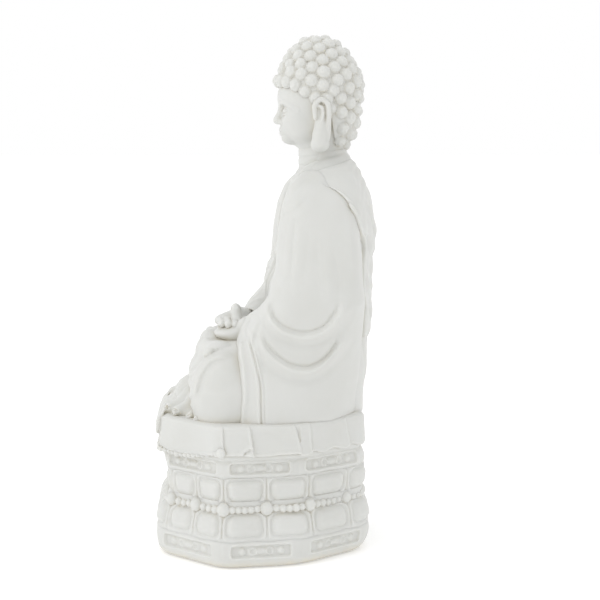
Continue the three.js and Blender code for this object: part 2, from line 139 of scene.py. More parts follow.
def smooth_line(pts, n=6):
    """A Catmull-Rom curve through the points, as a finer polyline."""
    p = np.array(pts, float)
    p = np.vstack([2 * p[0] - p[1], p, 2 * p[-1] - p[-2]])
    out = []
    for i in range(1, len(p) - 2):
        for t in np.arange(n) / n:
            out.append(0.5 * (2 * p[i] + (p[i + 1] - p[i - 1]) * t + (2 * p[i - 1] - 5 * p[i] + 4 * p[i + 1] - p[i + 2]) * t * t
                              + (3 * p[i] - p[i - 1] - 3 * p[i + 1] + p[i + 2]) * t**3))
    out.append(p[-2])
    return np.array(out)


def taper(t, a=0.12, b=0.12):
    return step(0, a, t) * step(0, b, 1 - t)


class Clay:
    """A block of distance values on a grid. Shapes are joined, cut and pressed into part of it at a time."""

    def __init__(self, lo, hi, h):
        self.h = h
        self.ax = [np.arange(lo[i] - 3 * h, hi[i] + 3.01 * h, h, dtype=f32) for i in range(3)]
        self.d = np.full([len(a) for a in self.ax], 50, f32)

    def part(self, lo, hi):
        s = []
        for i in range(3):
            a = self.ax[i]
            s.append(slice(int(np.searchsorted(a, lo[i])), int(np.searchsorted(a, hi[i], side="right"))))
        X = self.ax[0][s[0]][:, None, None]
        Y = self.ax[1][s[1]][None, :, None]
        Z = self.ax[2][s[2]][None, None, :]
        return X, Y, Z, tuple(s)

    def whole(self):
        return (self.ax[0][:, None, None], self.ax[1][None, :, None], self.ax[2][None, None, :])

    def _near(self, fn, box, k, op):
        if box is None:
            X, Y, Z = self.whole()
            self.d = op(self.d, fn(X, Y, Z)).astype(f32)
            return
        lo, hi = [v - k - 2 for v in box[0]], [v + k + 2 for v in box[1]]
        X, Y, Z, s = self.part(lo, hi)
        if 0 in (X.size, Y.size, Z.size):
            return
        self.d[s] = op(self.d[s], fn(X, Y, Z))

    def add(self, fn, k=0.0, box=None):
        self._near(fn, box, k, lambda a, b: smin(a, b, k))

    def cut(self, fn, k=0.0, box=None):
        self._near(fn, box, k, lambda a, b: smax(a, -b, k))

    def keep(self, fn, k=0.0):
        self._near(fn, None, k, lambda a, b: smax(a, b, k))

    def swell(self, fn, box=None):
        """Raises the surface by fn millimetres."""
        self._near(fn, box, 0, lambda a, b: a - b)

    def ball(self, c, r, k=0.0, turn=None, sub=False):
        m = max(r)
        box = ([v - m for v in c], [v + m for v in c])
        (self.cut if sub else self.add)(lambda X, Y, Z: ell(X, Y, Z, c, r, turn), k, box)

    def tube(self, pts, rs, k=0.0, inner=None, sub=False):
        """A round strand through points. Its own segments blend by "inner"."""
        pts = np.array(pts, float)
        rs = np.broadcast_to(np.array(rs, float), (len(pts),)) if np.ndim(rs) else np.full(len(pts), float(rs))
        m = float(rs.max())
        box = (pts.min(0) - m, pts.max(0) + m)

        def fn(X, Y, Z):
            out = None
            for i in range(len(pts) - 1):
                q = cap(X, Y, Z, pts[i], pts[i + 1], rs[i], rs[i + 1])
                out = q if out is None else np.minimum(out, q) if not inner else smin(out, q, inner)
            return out

        (self.cut if sub else self.add)(fn, k, box)

    def sample(self, P):
        g = (P - np.array([a[0] for a in self.ax])) / self.h
        i = np.clip(np.floor(g).astype(np.int64), 0, np.array(self.d.shape) - 2)
        t = g - i
        out = np.zeros(len(P))
        for a in (0, 1):
            for b in (0, 1):
                for c in (0, 1):
                    w = (t[:, 0] if a else 1 - t[:, 0]) * (t[:, 1] if b else 1 - t[:, 1]) * (t[:, 2] if c else 1 - t[:, 2])
                    out += w * self.d[i[:, 0] + a, i[:, 1] + b, i[:, 2] + c]
        return out

    def skin(self):
        """The surface where the distance is zero, as points and quads: one point per crossed cell, set on the surface."""
        d, h = self.d, self.h
        for ax in range(3):
            for end in (0, -1):
                wall = [slice(None)] * 3
                wall[ax] = end
                d[tuple(wall)] = np.maximum(d[tuple(wall)], 0.3)
        s = d < 0
        n = d.shape
        count = np.zeros([v - 1 for v in n], np.uint8)
        C = [(i, j, k) for i in (0, 1) for j in (0, 1) for k in (0, 1)]
        for i, j, k in C:
            count += s[i : n[0] - 1 + i, j : n[1] - 1 + j, k : n[2] - 1 + k]
        mixed = (count > 0) & (count < 8)
        ids = np.argwhere(mixed)
        index = np.full(mixed.shape, -1, np.int32)
        index[mixed] = np.arange(len(ids), dtype=np.int32)
        V, W = np.zeros((len(ids), 3)), np.zeros(len(ids))
        for a in C:
            for ax in range(3):
                if a[ax]:
                    continue
                b = list(a)
                b[ax] = 1
                da = d[ids[:, 0] + a[0], ids[:, 1] + a[1], ids[:, 2] + a[2]]
                db = d[ids[:, 0] + b[0], ids[:, 1] + b[1], ids[:, 2] + b[2]]
                m = (da < 0) != (db < 0)
                p = np.tile(np.array(a, float), (int(m.sum()), 1))
                p[:, ax] += da[m] / (da[m] - db[m])
                V[m] += p
                W[m] += 1
        V = (V / W[:, None] + ids) * h + np.array([a[0] for a in self.ax])
        quads = []
        for ax in range(3):
            rest = [i for i in range(3) if i != ax]
            s0, s1 = [None] * 3, [None] * 3
            s0[ax], s1[ax] = slice(0, -1), slice(1, None)
            for k in rest:
                s0[k] = s1[k] = slice(1, n[k] - 1)
            A, B = s[tuple(s0)], s[tuple(s1)]
            e = np.argwhere(A != B)
            inside = A[tuple(e.T)]
            for k in rest:
                e[:, k] += 1
            u, v = (ax + 1) % 3, (ax + 2) % 3
            q = []
            for du, dv in ((-1, -1), (0, -1), (0, 0), (-1, 0)):
                g = e.copy()
                g[:, u] += du
                g[:, v] += dv
                q.append(index[tuple(g.T)])
            q = np.stack(q, 1)
            q[~inside] = q[~inside][:, ::-1]
            quads.append(q)
        F = np.concatenate(quads)
        # Settle each point onto the surface along the field's slope.
        for _ in range(2):
            g = np.stack([self.sample(V + np.eye(3)[i] * 0.5 * h) - self.sample(V - np.eye(3)[i] * 0.5 * h) for i in range(3)], 1) / h
            g2 = np.maximum((g * g).sum(1), 0.05)
            move = -(self.sample(V) / g2)[:, None] * g
            l = np.linalg.norm(move, axis=1)
            move *= (np.minimum(l, 0.35 * h) / np.maximum(l, 1e-9))[:, None]
            V = V + move
        return V, F


def biggest(V, F):
    """Leaves only the largest connected piece, so no loose crumb is kept."""
    lab = np.arange(len(V))
    while True:
        low = lab[F].min(1)
        new = lab.copy()
        np.minimum.at(new, F.ravel(), np.repeat(low, F.shape[1]))
        new = new[new]
        if (new == lab).all():
            break
        lab = new
    names, counts = np.unique(lab, return_counts=True)
    ok = lab == names[counts.argmax()]
    if ok.all():
        return V, F
    renum = np.cumsum(ok) - 1
    return V[ok], renum[F[ok[F].all(1)]]


PIECES = {}
HELD = {}


BACK_FULL = curve([88, 94, 98, 105, 112, 119, 123, 130, 137, 144, 155, 165, 172, 180], [0, 0.5, 1.1, 1.6, 2.0, 2.0, 2.1, 2.5, 2.5, 2.5, 1.6, 1.1, 0.8, 0])
CHEST_IN = curve([156, 160, 165, 172, 186, 200, 206, 211, 216], [0, 0.9, 1.7, 1.8, 2.0, 2.0, 1.3, 0.6, 0])


def lean(V):
    """Slight shift of the robe fore and aft, the same for every piece of it."""
    z, y = V[:, 2], V[:, 1]
    V[:, 1] += BACK_FULL(z) * step(34, 52, y) + CHEST_IN(z) * step(24, 8, y)
    return V


def cast(name, clay, nodes, ratio=0.4, one=True):
    V, F = clay.skin()
    if one:
        V, F = biggest(V, F)
    if {"torso", "back_drape", "left_sleeve", "right_sleeve"} & set(nodes):
        V = lean(V)
    V = V * 0.001
    V[:, 1] += SHIFT * 0.001
    me = bpy.data.meshes.new(name)
    me.vertices.add(len(V))
    me.vertices.foreach_set("co", V.astype(f32).ravel())
    me.loops.add(F.size)
    me.loops.foreach_set("vertex_index", F.astype(np.int32).ravel())
    me.polygons.add(len(F))
    me.polygons.foreach_set("loop_start", np.arange(0, F.size, 4, dtype=np.int32))
    me.update(calc_edges=True)
    me.validate()
    ob = bpy.data.objects.new(name, me)
    bpy.context.scene.collection.objects.link(ob)
    if ratio < 1:
        mod = ob.modifiers.new("thin", "DECIMATE")
        mod.ratio = ratio
        deps = bpy.context.evaluated_depsgraph_get()
        thin = bpy.data.meshes.new_from_object(ob.evaluated_get(deps))
        ob.modifiers.clear()
        ob.data = thin
        bpy.data.meshes.remove(me)
        thin.name = name
    ob.data.polygons.foreach_set("use_smooth", np.ones(len(ob.data.polygons), bool))
    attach(ob, "root")
    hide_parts(*nodes)
    ob.data.materials.clear()
    ob.data.materials.append(STONE)
    PIECES[name] = ob
    print("cast", name, len(F), "->", len(ob.data.polygons), flush=True)
    return ob


# ------------------------------------------------------------------ materials
def nodes_of(name):
    m = bpy.data.materials.new(name)
    m.use_nodes = True
    t = m.node_tree
    t.nodes.clear()
    return m, t


def link(t, a, b):
    t.links.new(a, b)


def stone_material():
    m, t = nodes_of("white_stone_resin")
    out = t.nodes.new("ShaderNodeOutputMaterial")
    p = t.nodes.new("ShaderNodeBsdfPrincipled")
    link(t, p.outputs[0], out.inputs[0])
    co = t.nodes.new("ShaderNodeTexCoord")
    # Faint cloudiness through the casting.
    cloud = t.nodes.new("ShaderNodeTexNoise")
    cloud.inputs["Scale"].default_value = 26
    cloud.inputs["Detail"].default_value = 4
    cloud.inputs["Roughness"].default_value = 0.55
    link(t, co.outputs["Object"], cloud.inputs["Vector"])
    ramp = t.nodes.new("ShaderNodeValToRGB")
    ramp.color_ramp.elements[0].position = 0.3
    ramp.color_ramp.elements[0].color = (0.615, 0.618, 0.592, 1)
    ramp.color_ramp.elements[1].position = 0.72
    ramp.color_ramp.elements[1].color = (0.650, 0.654, 0.634, 1)
    link(t, cloud.outputs["Fac"], ramp.inputs[0])
    # Warm tone in the recesses, partly the stone's own antique wash and partly painted light: where the occlusion mask
    # finds recesses, the colour turns warmer and a little brighter than the base, as painted bounce light that lifts
    # the shade there.
    ao = t.nodes.new("ShaderNodeAmbientOcclusion")
    ao.samples = 6
    ao.inputs["Distance"].default_value = 0.007
    aor = t.nodes.new("ShaderNodeValToRGB")
    aor.color_ramp.elements[0].position = 0.25
    aor.color_ramp.elements[0].color = (1, 1, 1, 1)
    aor.color_ramp.elements[1].position = 0.85
    aor.color_ramp.elements[1].color = (0, 0, 0, 1)
    link(t, ao.outputs["AO"], aor.inputs[0])
    wear = t.nodes.new("ShaderNodeTexNoise")
    wear.inputs["Scale"].default_value = 140
    wear.inputs["Detail"].default_value = 3
    link(t, co.outputs["Object"], wear.inputs["Vector"])
    wash_and_bounce_amount = t.nodes.new("ShaderNodeMath")
    wash_and_bounce_amount.operation = "MULTIPLY"
    link(t, aor.outputs[0], wash_and_bounce_amount.inputs[0])
    link(t, wear.outputs["Fac"], wash_and_bounce_amount.inputs[1])
    wash_and_bounce_mix = t.nodes.new("ShaderNodeMix")
    wash_and_bounce_mix.data_type = "RGBA"
    link(t, wash_and_bounce_amount.outputs[0], wash_and_bounce_mix.inputs["Factor"])
    link(t, ramp.outputs[0], wash_and_bounce_mix.inputs["A"])
    # Recess colour: warmer than the base and a little brighter in red, a painted bounce light over the shade in the
    # recesses.
    wash_and_bounce_mix.inputs["B"].default_value = (0.70, 0.655, 0.54, 1)
    link(t, wash_and_bounce_mix.outputs["Result"], p.inputs["Base Color"])
    # Roughness wanders a little; a very fine mineral grain in the skin.
    rough = t.nodes.new("ShaderNodeMapRange")
    rough.inputs["From Min"].default_value = 0.3
    rough.inputs["From Max"].default_value = 0.7
    rough.inputs["To Min"].default_value = 0.46
    rough.inputs["To Max"].default_value = 0.62
    link(t, wear.outputs["Fac"], rough.inputs["Value"])
    link(t, rough.outputs["Result"], p.inputs["Roughness"])
    grain = t.nodes.new("ShaderNodeTexNoise")
    grain.inputs["Scale"].default_value = 1900
    grain.inputs["Detail"].default_value = 3
    link(t, co.outputs["Object"], grain.inputs["Vector"])
    hand = t.nodes.new("ShaderNodeTexNoise")
    hand.inputs["Scale"].default_value = 170
    hand.inputs["Detail"].default_value = 2
    link(t, co.outputs["Object"], hand.inputs["Vector"])
    b1 = t.nodes.new("ShaderNodeBump")
    b1.inputs["Strength"].default_value = 0.16
    b1.inputs["Distance"].default_value = 0.0006
    link(t, hand.outputs["Fac"], b1.inputs["Height"])
    b2 = t.nodes.new("ShaderNodeBump")
    b2.inputs["Strength"].default_value = 0.12
    b2.inputs["Distance"].default_value = 0.0001
    link(t, grain.outputs["Fac"], b2.inputs["Height"])
    link(t, b1.outputs[0], b2.inputs["Normal"])
    link(t, b2.outputs[0], p.inputs["Normal"])
    p.inputs["Subsurface Weight"].default_value = 0.45
    p.inputs["Subsurface Radius"].default_value = (1.0, 0.97, 0.92)
    p.inputs["Subsurface Scale"].default_value = 0.0035
    p.inputs["IOR"].default_value = 1.48
    p.inputs["Specular IOR Level"].default_value = 0.42
    return m


STONE = stone_material()


def board_material():
    m, t = nodes_of("felt_board")
    out = t.nodes.new("ShaderNodeOutputMaterial")
    p = t.nodes.new("ShaderNodeBsdfPrincipled")
    link(t, p.outputs[0], out.inputs[0])
    co = t.nodes.new("ShaderNodeTexCoord")
    n = t.nodes.new("ShaderNodeTexNoise")
    n.inputs["Scale"].default_value = 900
    n.inputs["Detail"].default_value = 6
    link(t, co.outputs["Object"], n.inputs["Vector"])
    r = t.nodes.new("ShaderNodeValToRGB")
    r.color_ramp.elements[0].color = (0.36, 0.32, 0.27, 1)
    r.color_ramp.elements[1].color = (0.60, 0.55, 0.47, 1)
    link(t, n.outputs["Fac"], r.inputs[0])
    link(t, r.outputs[0], p.inputs["Base Color"])
    p.inputs["Roughness"].default_value = 0.95
    p.inputs["Sheen Weight"].default_value = 0.3
    b = t.nodes.new("ShaderNodeBump")
    b.inputs["Strength"].default_value = 0.5
    b.inputs["Distance"].default_value = 0.0004
    link(t, n.outputs["Fac"], b.inputs["Height"])
    link(t, b.outputs[0], p.inputs["Normal"])
    return m


def steel_material():
    m, t = nodes_of("ground_steel")
    out = t.nodes.new("ShaderNodeOutputMaterial")
    p = t.nodes.new("ShaderNodeBsdfPrincipled")
    link(t, p.outputs[0], out.inputs[0])
    co = t.nodes.new("ShaderNodeTexCoord")
    n = t.nodes.new("ShaderNodeTexNoise")
    n.inputs["Scale"].default_value = 500
    link(t, co.outputs["Object"], n.inputs["Vector"])
    r = t.nodes.new("ShaderNodeMapRange")
    r.inputs["To Min"].default_value = 0.25
    r.inputs["To Max"].default_value = 0.45
    link(t, n.outputs["Fac"], r.inputs["Value"])
    link(t, r.outputs["Result"], p.inputs["Roughness"])
    p.inputs["Base Color"].default_value = (0.62, 0.62, 0.63, 1)
    p.inputs["Metallic"].default_value = 1.0
    return m


# ------------------------------------------------------------------ throne
PLAN = np.array([[38, -61.3], [75, -24.5], [69, 21.5], [36, 60.6], [-36, 60.6], [-69, 21.5], [-75, -24.5], [-38, -61.3]], float)
FACES = []
for i in range(8):
    a, b = PLAN[i], PLAN[(i + 1) % 8]
    L = float(np.hypot(*(b - a)))
    u = (b - a) / L
    FACES.append((a, u, np.array([u[1], -u[0]]), L))
TURN = []
for i in range(8):
    u0, u1 = FACES[i - 1][1], FACES[i][1]
    TURN.append(math.tan(0.5 * math.acos(float(np.clip(u0 @ u1, -1, 1)))))


RING = 4.9
SPAN = [FACES[i][3] - (TURN[i] + TURN[(i + 1) % 8]) * RING for i in range(8)]
CORNER1 = SPAN[7] / 2 + SPAN[0]
HALF = CORNER1 + SPAN[1] + SPAN[2] + SPAN[3] / 2
# Seams between petals, as distances round one half from the middle of the front.
SEAMS = [0, CORNER1 - 62.0, CORNER1 - 40.2, CORNER1 - 20.3, CORNER1, CORNER1 + 24.4, CORNER1 + 50.2, CORNER1 + 76.8, CORNER1 + 100.4, HALF]


class Plan:
    """The octagon over a grid of x and y: rounded distance, the face each point belongs to, and place along it."""

    def __init__(self, clay, soft=7.0):
        x, y = clay.ax[0][:, None].astype(float), clay.ax[1][None, :].astype(float)
        f = np.stack([(x - a[0]) * n[0] + (y - a[1]) * n[1] for a, u, n, L in FACES])
        d = f[0]
        for g in f[1:]:
            d = smax(d, g, soft)
        self.d = d[:, :, None].astype(f32)
        self.face = f.argmax(0)
        depth = -f.max(0)
        t = np.zeros_like(d)
        L = np.zeros_like(d)
        ta, tb = np.zeros_like(d), np.zeros_like(d)
        for i, (a, u, n, l) in enumerate(FACES):
            m = self.face == i
            t[m] = ((x - a[0]) * u[0] + (y - a[1]) * u[1])[m]
            L[m] = l
            ta[m] = TURN[i]
            tb[m] = TURN[(i + 1) % 8]
        first = t < L / 2
        e = np.where(first, t - ta * depth, (L - t) - tb * depth)  # from the corner
        W = np.where(first, L / 2 - ta * depth, L / 2 - tb * depth)
        self.t, self.L, self.mid = t[:, :, None].astype(f32), L[:, :, None].astype(f32), (t - L / 2)[:, :, None].astype(f32)
        # Distance round the half ring, alike on both sides.
        xa = np.abs(x) * np.ones_like(y)
        ym = y * np.ones_like(x)
        fm = np.stack([(xa - a[0]) * n[0] + (ym - a[1]) * n[1] for a, u, n, l in FACES])
        face = fm.argmax(0)
        dep = -fm.max(0)
        S = np.zeros_like(d)
        start = {7: -SPAN[7] / 2, 0: SPAN[7] / 2, 1: CORNER1, 2: CORNER1 + SPAN[1], 3: CORNER1 + SPAN[1] + SPAN[2]}
        for i in (7, 0, 1, 2, 3):
            a, u, n, l = FACES[i]
            m = face == i
            q = (xa - a[0]) * u[0] + (ym - a[1]) * u[1]
            f_ = (q - TURN[i] * dep) / (l - (TURN[i] + TURN[(i + 1) % 8]) * dep)
            S[m] = (start[i] + f_ * SPAN[i])[m]
        S = np.clip(S, 0.001, HALF - 0.001)
        k = np.clip(np.searchsorted(SEAMS, S) - 1, 0, len(SEAMS) - 2)
        lo, hi = np.array(SEAMS)[k], np.array(SEAMS)[k + 1]
        self.a = (S - (lo + hi) / 2)[:, :, None].astype(f32)  # from the petal's middle
        self.w = ((hi - lo) / 2)[:, :, None].astype(f32)  # half the petal's width
        self.seam = self.w - np.abs(self.a)
        self.faces = self.face[:, :, None]


def rbox(u, v, hu, hv, r):
    qx, qy = np.abs(u) - hu + r, np.abs(v) - hv + r
    return np.hypot(np.maximum(qx, 0), np.maximum(qy, 0)) + np.minimum(np.maximum(qx, qy), 0) - r


FRONT_IN = curve([20, 24, 30, 33, 37, 41, 46, 52, 58, 64], [0, 0.6, 1.6, 2.6, 4.4, 5.2, 4.6, 3.2, 1.8, 0.2])
BACK_OUT = curve([4, 11, 20, 28, 34, 38, 46, 56, 62], [0.2, 1.5, 1.8, 2.3, 2.2, 2.6, 3.0, 2.6, 0.7])


def tier(name, nodes, z0, z1, inset, relief=None, soft=7.0, edge=0.5, ratio=0.4, bore=None, h=None, lo_fn=None, hi_fn=None):
    c = Clay((-77, -64, z0), (77, 64, z1), h or MID)
    P = Plan(c, soft)
    Z = c.ax[2][None, None, :]
    Yg = c.ax[1][None, :, None]
    d = P.d + inset(c.ax[2])[None, None, :] - BACK_OUT(c.ax[2])[None, None, :] * step(15, 55, Yg)
    d = smax(d, -Yg - 62.3 + (inset(c.ax[2]) + FRONT_IN(c.ax[2]))[None, None, :], 2.5)
    if relief is not None:
        d = d - relief(P, Z)
    low = (z0 if lo_fn is None else lo_fn(P)) - Z
    high = Z - (z1 if hi_fn is None else hi_fn(P))
    d = smax(smax(d, low, edge), high, edge)
    c.d = np.broadcast_to(d, c.d.shape).astype(f32).copy()
    if bore is not None:
        X, Y, Zw = c.whole()
        hole = (np.sqrt((X / bore[0]) ** 2 + (Y / bore[1]) ** 2) - 1) * min(bore[:2])
        hole = np.maximum(hole, Zw - bore[2])
        c.d = np.maximum(c.d, -hole).astype(f32)
    return cast(name, c, nodes, ratio)


def throne():
    def panel(P, Z, zc, hv, share, sign_mid=True):
        """A sunk panel in each face, with bosses and a low scroll in it."""
        r = rbox(P.mid, Z - zc, share * P.L, hv, 1.6)
        sink = -1.35 * step(0.5, -0.6, r)
        m = np.abs(P.mid)
        boss = 1.15 * np.clip(1 - (np.hypot(m - 0.235 * P.L, (Z - zc)) / 2.3) ** 2, 0, 1) ** 0.5
        eye = 0.9 * np.clip(1 - (np.hypot(m * 0.62, (Z - zc) * 1.15) / 2.4) ** 2, 0, 1) ** 0.5
        scroll = 0.75 * bell(np.hypot(m - 0.105 * P.L, (Z - zc)) - 2.0, 0.6)
        rim = 0.3 * bell(r - 0.9, 0.6)
        return sink + (boss + eye + scroll) * step(0.2, -0.8, r) + rim

    def plinth_relief(P, Z):
        return panel(P, Z, 10.2, 3.3, 0.36) + 0.25 * np.sin(P.t * 0.31 + P.faces * 2.1) * step(4, 8, Z)

    tier("cast_plinth", ["plinth"], 0, 17.6,
         curve([0, 1.2, 3, 5.5, 8, 12, 15, 17.6], [5.2, 3.2, 1.4, 0.45, 0.1, 0.0, 0.25, 1.5]), plinth_relief, edge=1.2, bore=(47, 35, 15))

    def petals(P, Z, zc, hv, up):
        taper_ = 0.10 * (Z - zc) if up else -0.06 * (Z - zc)
        cush = rbox(P.a, Z - zc, P.w - 3.5 + taper_, hv, 3.0)
        bump = 1.15 * step(1.1, -2.2, cush) + 0.4 * step(0, -5, cush)
        moat = -0.6 * bell(cush - 1.15, 0.75)
        frame_r = rbox(P.a, Z - (zc + (0.5 if up else -0.9)), P.w - 1.05, hv + (2.0 if up else 2.5), 4.0)
        rib = 0.5 * bell(frame_r, 0.6)
        groove = -0.75 * bell(P.seam, 0.42)
        return bump + moat + rib + groove

    tier("cast_lower_petals", ["lower_petal_ring"], 14.2, 31.4,
         curve([14.2, 16, 17.6, 19.5, 22, 25, 27.5, 29.6, 31.4], [1.1, 0.5, 0.4, 0.7, 1.1, 1.7, 2.5, 3.3, 4.5]),
         lambda P, Z: petals(P, Z, 24.4, 5.0, False) * step(15.8, 19.0, Z), edge=0.8, bore=(56, 45, 40))
    tier("cast_upper_petals", ["upper_petal_ring"], 35.6, 51.0,
         curve([35.6, 37, 38.5, 41, 45, 48.5, 51.0], [4.9, 4.75, 4.7, 4.6, 4.35, 4.1, 4.4]),
         lambda P, Z: petals(P, Z, 43.3, 4.9, True), edge=0.6, bore=(56, 45, 60))
    # The waist behind the garland.
    tier("cast_waist", ["throne_waist"], 30.2, 37.8, curve([30, 34, 38], [4.5, 4.3, 4.5]), None, edge=0.2, ratio=0.2, bore=(58, 46, 60))

    def band_relief(P, Z):
        cove = -0.7 * bell(Z - 60.6, 0.9)
        return panel(P, Z, 56.2, 2.9, 0.36) + cove + 0.2 * np.sin(P.t * 0.4 + P.faces)

    tier("cast_band", ["upper_tier"], 49.6, 66.0,
         curve([49.6, 50.6, 52, 54, 57, 60, 61.5, 63.5, 66], [5.0, 4.45, 4.0, 3.9, 3.9, 3.9, 3.2, 3.0, 3.6]), band_relief, edge=0.5, bore=(47, 35, 90))

    # Cloth over the seat, in overlapping flat pleats with slanting edges.
    rng = np.random.RandomState(11)
    cuts = {}
    for i, (a, u, n, L) in enumerate(FACES):
        if i == 1:
            cuts[i] = [(2.2, 0.6), (17.0, 2.4), (42.3, 4.8)]
        else:
            k = 0 if i in (0, 6, 7) else 2 if L < 60 else 3
            cuts[i] = [(L * (j + 0.18 + 0.2 * rng.rand()) / k + 2, 1 + 3.5 * rng.rand()) for j in range(k)]
    order = {i: sorted(c) for i, c in cuts.items()}

    def pleats(P, Z):
        out = np.zeros(np.broadcast_shapes(P.d.shape, Z.shape), f32)
        up = (Z - 64) / 17.0
        for i, c in order.items():
            L = FACES[i][3]
            m = P.faces == i
            edges = [e + s * (1 - up) for e, s in c]
            if i == 3:
                edges, flip = edges, True
            v = np.full_like(out, 0.35)
            for j, e in enumerate(edges):
                nxt = edges[j + 1] if j + 1 < len(edges) else L + 6
                q = (P.t - e) / np.maximum(nxt - e, 1)
                # Rises slowly towards the next edge, then drops at it.
                here = step(-0.3, 0.3, P.t - e)
                v = np.where(here > 0, v * (1 - here) + here * (-0.7 + 1.75 * np.clip(q, 0, 1) ** 1.2 - 0.35 * bell(P.t - e - 0.5, 0.5)), v)
                v = v + 0.3 * bell(P.t - e + 0.9, 0.8)
            out = np.where(m, v, out)
        return out * step(84, 77, Z) * 0.95 * (0.75 + 0.25 * step(76, 66, Z))

    def hem(P):
        # Scalloped hem: deeper at pleat middles; lifted at the front corners where the beads are pinned.
        base = 63.2 + 0.9 * np.sin(P.t * 0.42 + P.faces * 1.7)
        f0 = P.faces == 0
        f6 = P.faces == 6
        f7 = P.faces == 7
        f1 = P.faces == 1
        T0 = P.t / P.L
        swag = np.where(f0, 61.8 + 3.4 * np.clip(T0 - 0.3, 0, 1) ** 2 / 0.49 + 0.8 * np.clip(0.3 - T0, 0, 1) / 0.3,
                        np.where(f6, 61.8 + 3.4 * np.clip(0.7 - T0, 0, 1) ** 2 / 0.49 + 0.8 * np.clip(T0 - 0.7, 0, 1) / 0.3,
                                 np.where(f7, 60.9 + 1.7 * (2 * np.abs(T0 - 0.5)) ** 2, base)))
        near = np.where(f1, 63.6 + 0.5 * np.sin(P.t * 0.2), swag)
        return near

    c = Clay((-77, -64, 60), (77, 64, 82), MID)
    P = Plan(c, 6.0)
    Z = c.ax[2][None, None, :]
    inset = curve([60, 64, 67, 71, 75, 78.5, 80.2, 81.2], [1.5, 1.1, 1.0, 1.2, 1.35, 1.6, 2.3, 3.8])
    d = P.d + inset(c.ax[2])[None, None, :] + 1.3 * step(-50, -58, c.ax[1])[None, :, None] - pleats(P, Z)
    hz = hem(P)
    d = d - 0.5 * bell(Z - hz - 0.8, 0.7)
    # A small lifted fold in the hem on each side.
    q, tt, sd = line2(P.t + 0 * Z, Z + 0 * P.t, smooth_line([(12.0, 63.4), (14.2, 65.9), (17.2, 67.7), (20.0, 67.9)], 4))
    fold = -0.9 * bell(q - 0.3, 0.8) * (sd < 0) + 0.5 * bell(q - 1.0, 0.9) * (sd > 0)
    q5, t5, sd5 = line2(P.L - P.t + 0 * Z, Z + 0 * P.t, smooth_line([(15.0, 63.4), (17.2, 65.7), (20.2, 67.3), (23.0, 67.5)], 4))
    fold5 = -0.9 * bell(q5 - 0.3, 0.8) * (sd5 < 0) + 0.5 * bell(q5 - 1.0, 0.9) * (sd5 > 0)
    d = d - np.where(P.faces == 1, fold * taper(tt, 0.2, 0.3), np.where(P.faces == 5, fold5 * taper(t5, 0.2, 0.3), 0))
    d = smax(d, Z - 81.0, 2.2)
    d = smax(d, hz - Z, 0.5)
    inner = P.d + 4.6
    d = np.maximum(d, -np.maximum(inner, Z - 78.4))
    c.d = d.astype(f32)
    cast("cast_seat_cloth", c, ["seat_cloth"], 0.4)
    return hz


def path_points(inset, half_range=range(16), pull=1.6):
    """Corner and mid-face points of the plan, drawn in by inset."""
    out = []
    n = 8
    corners = ring_corners(inset)
    for i in range(n):
        p, q = corners[i], corners[(i + 1) % n]
        bis = -(FACES[i][2] + FACES[i - 1][2])
        out.append(p + bis / np.linalg.norm(bis) * pull)
        out.append((p + q) / 2)
    return out  # corner 0, mid 0, corner 1, mid 1 ...


def ring_corners(inset):
    corners = []
    for i in range(8):
        a, u, nn, L = FACES[i]
        a0, u0, n0, L0 = FACES[i - 1]
        corners.append(np.linalg.solve(np.array([nn, n0]), np.array([nn @ a - inset, n0 @ a0 - inset])))
    return corners


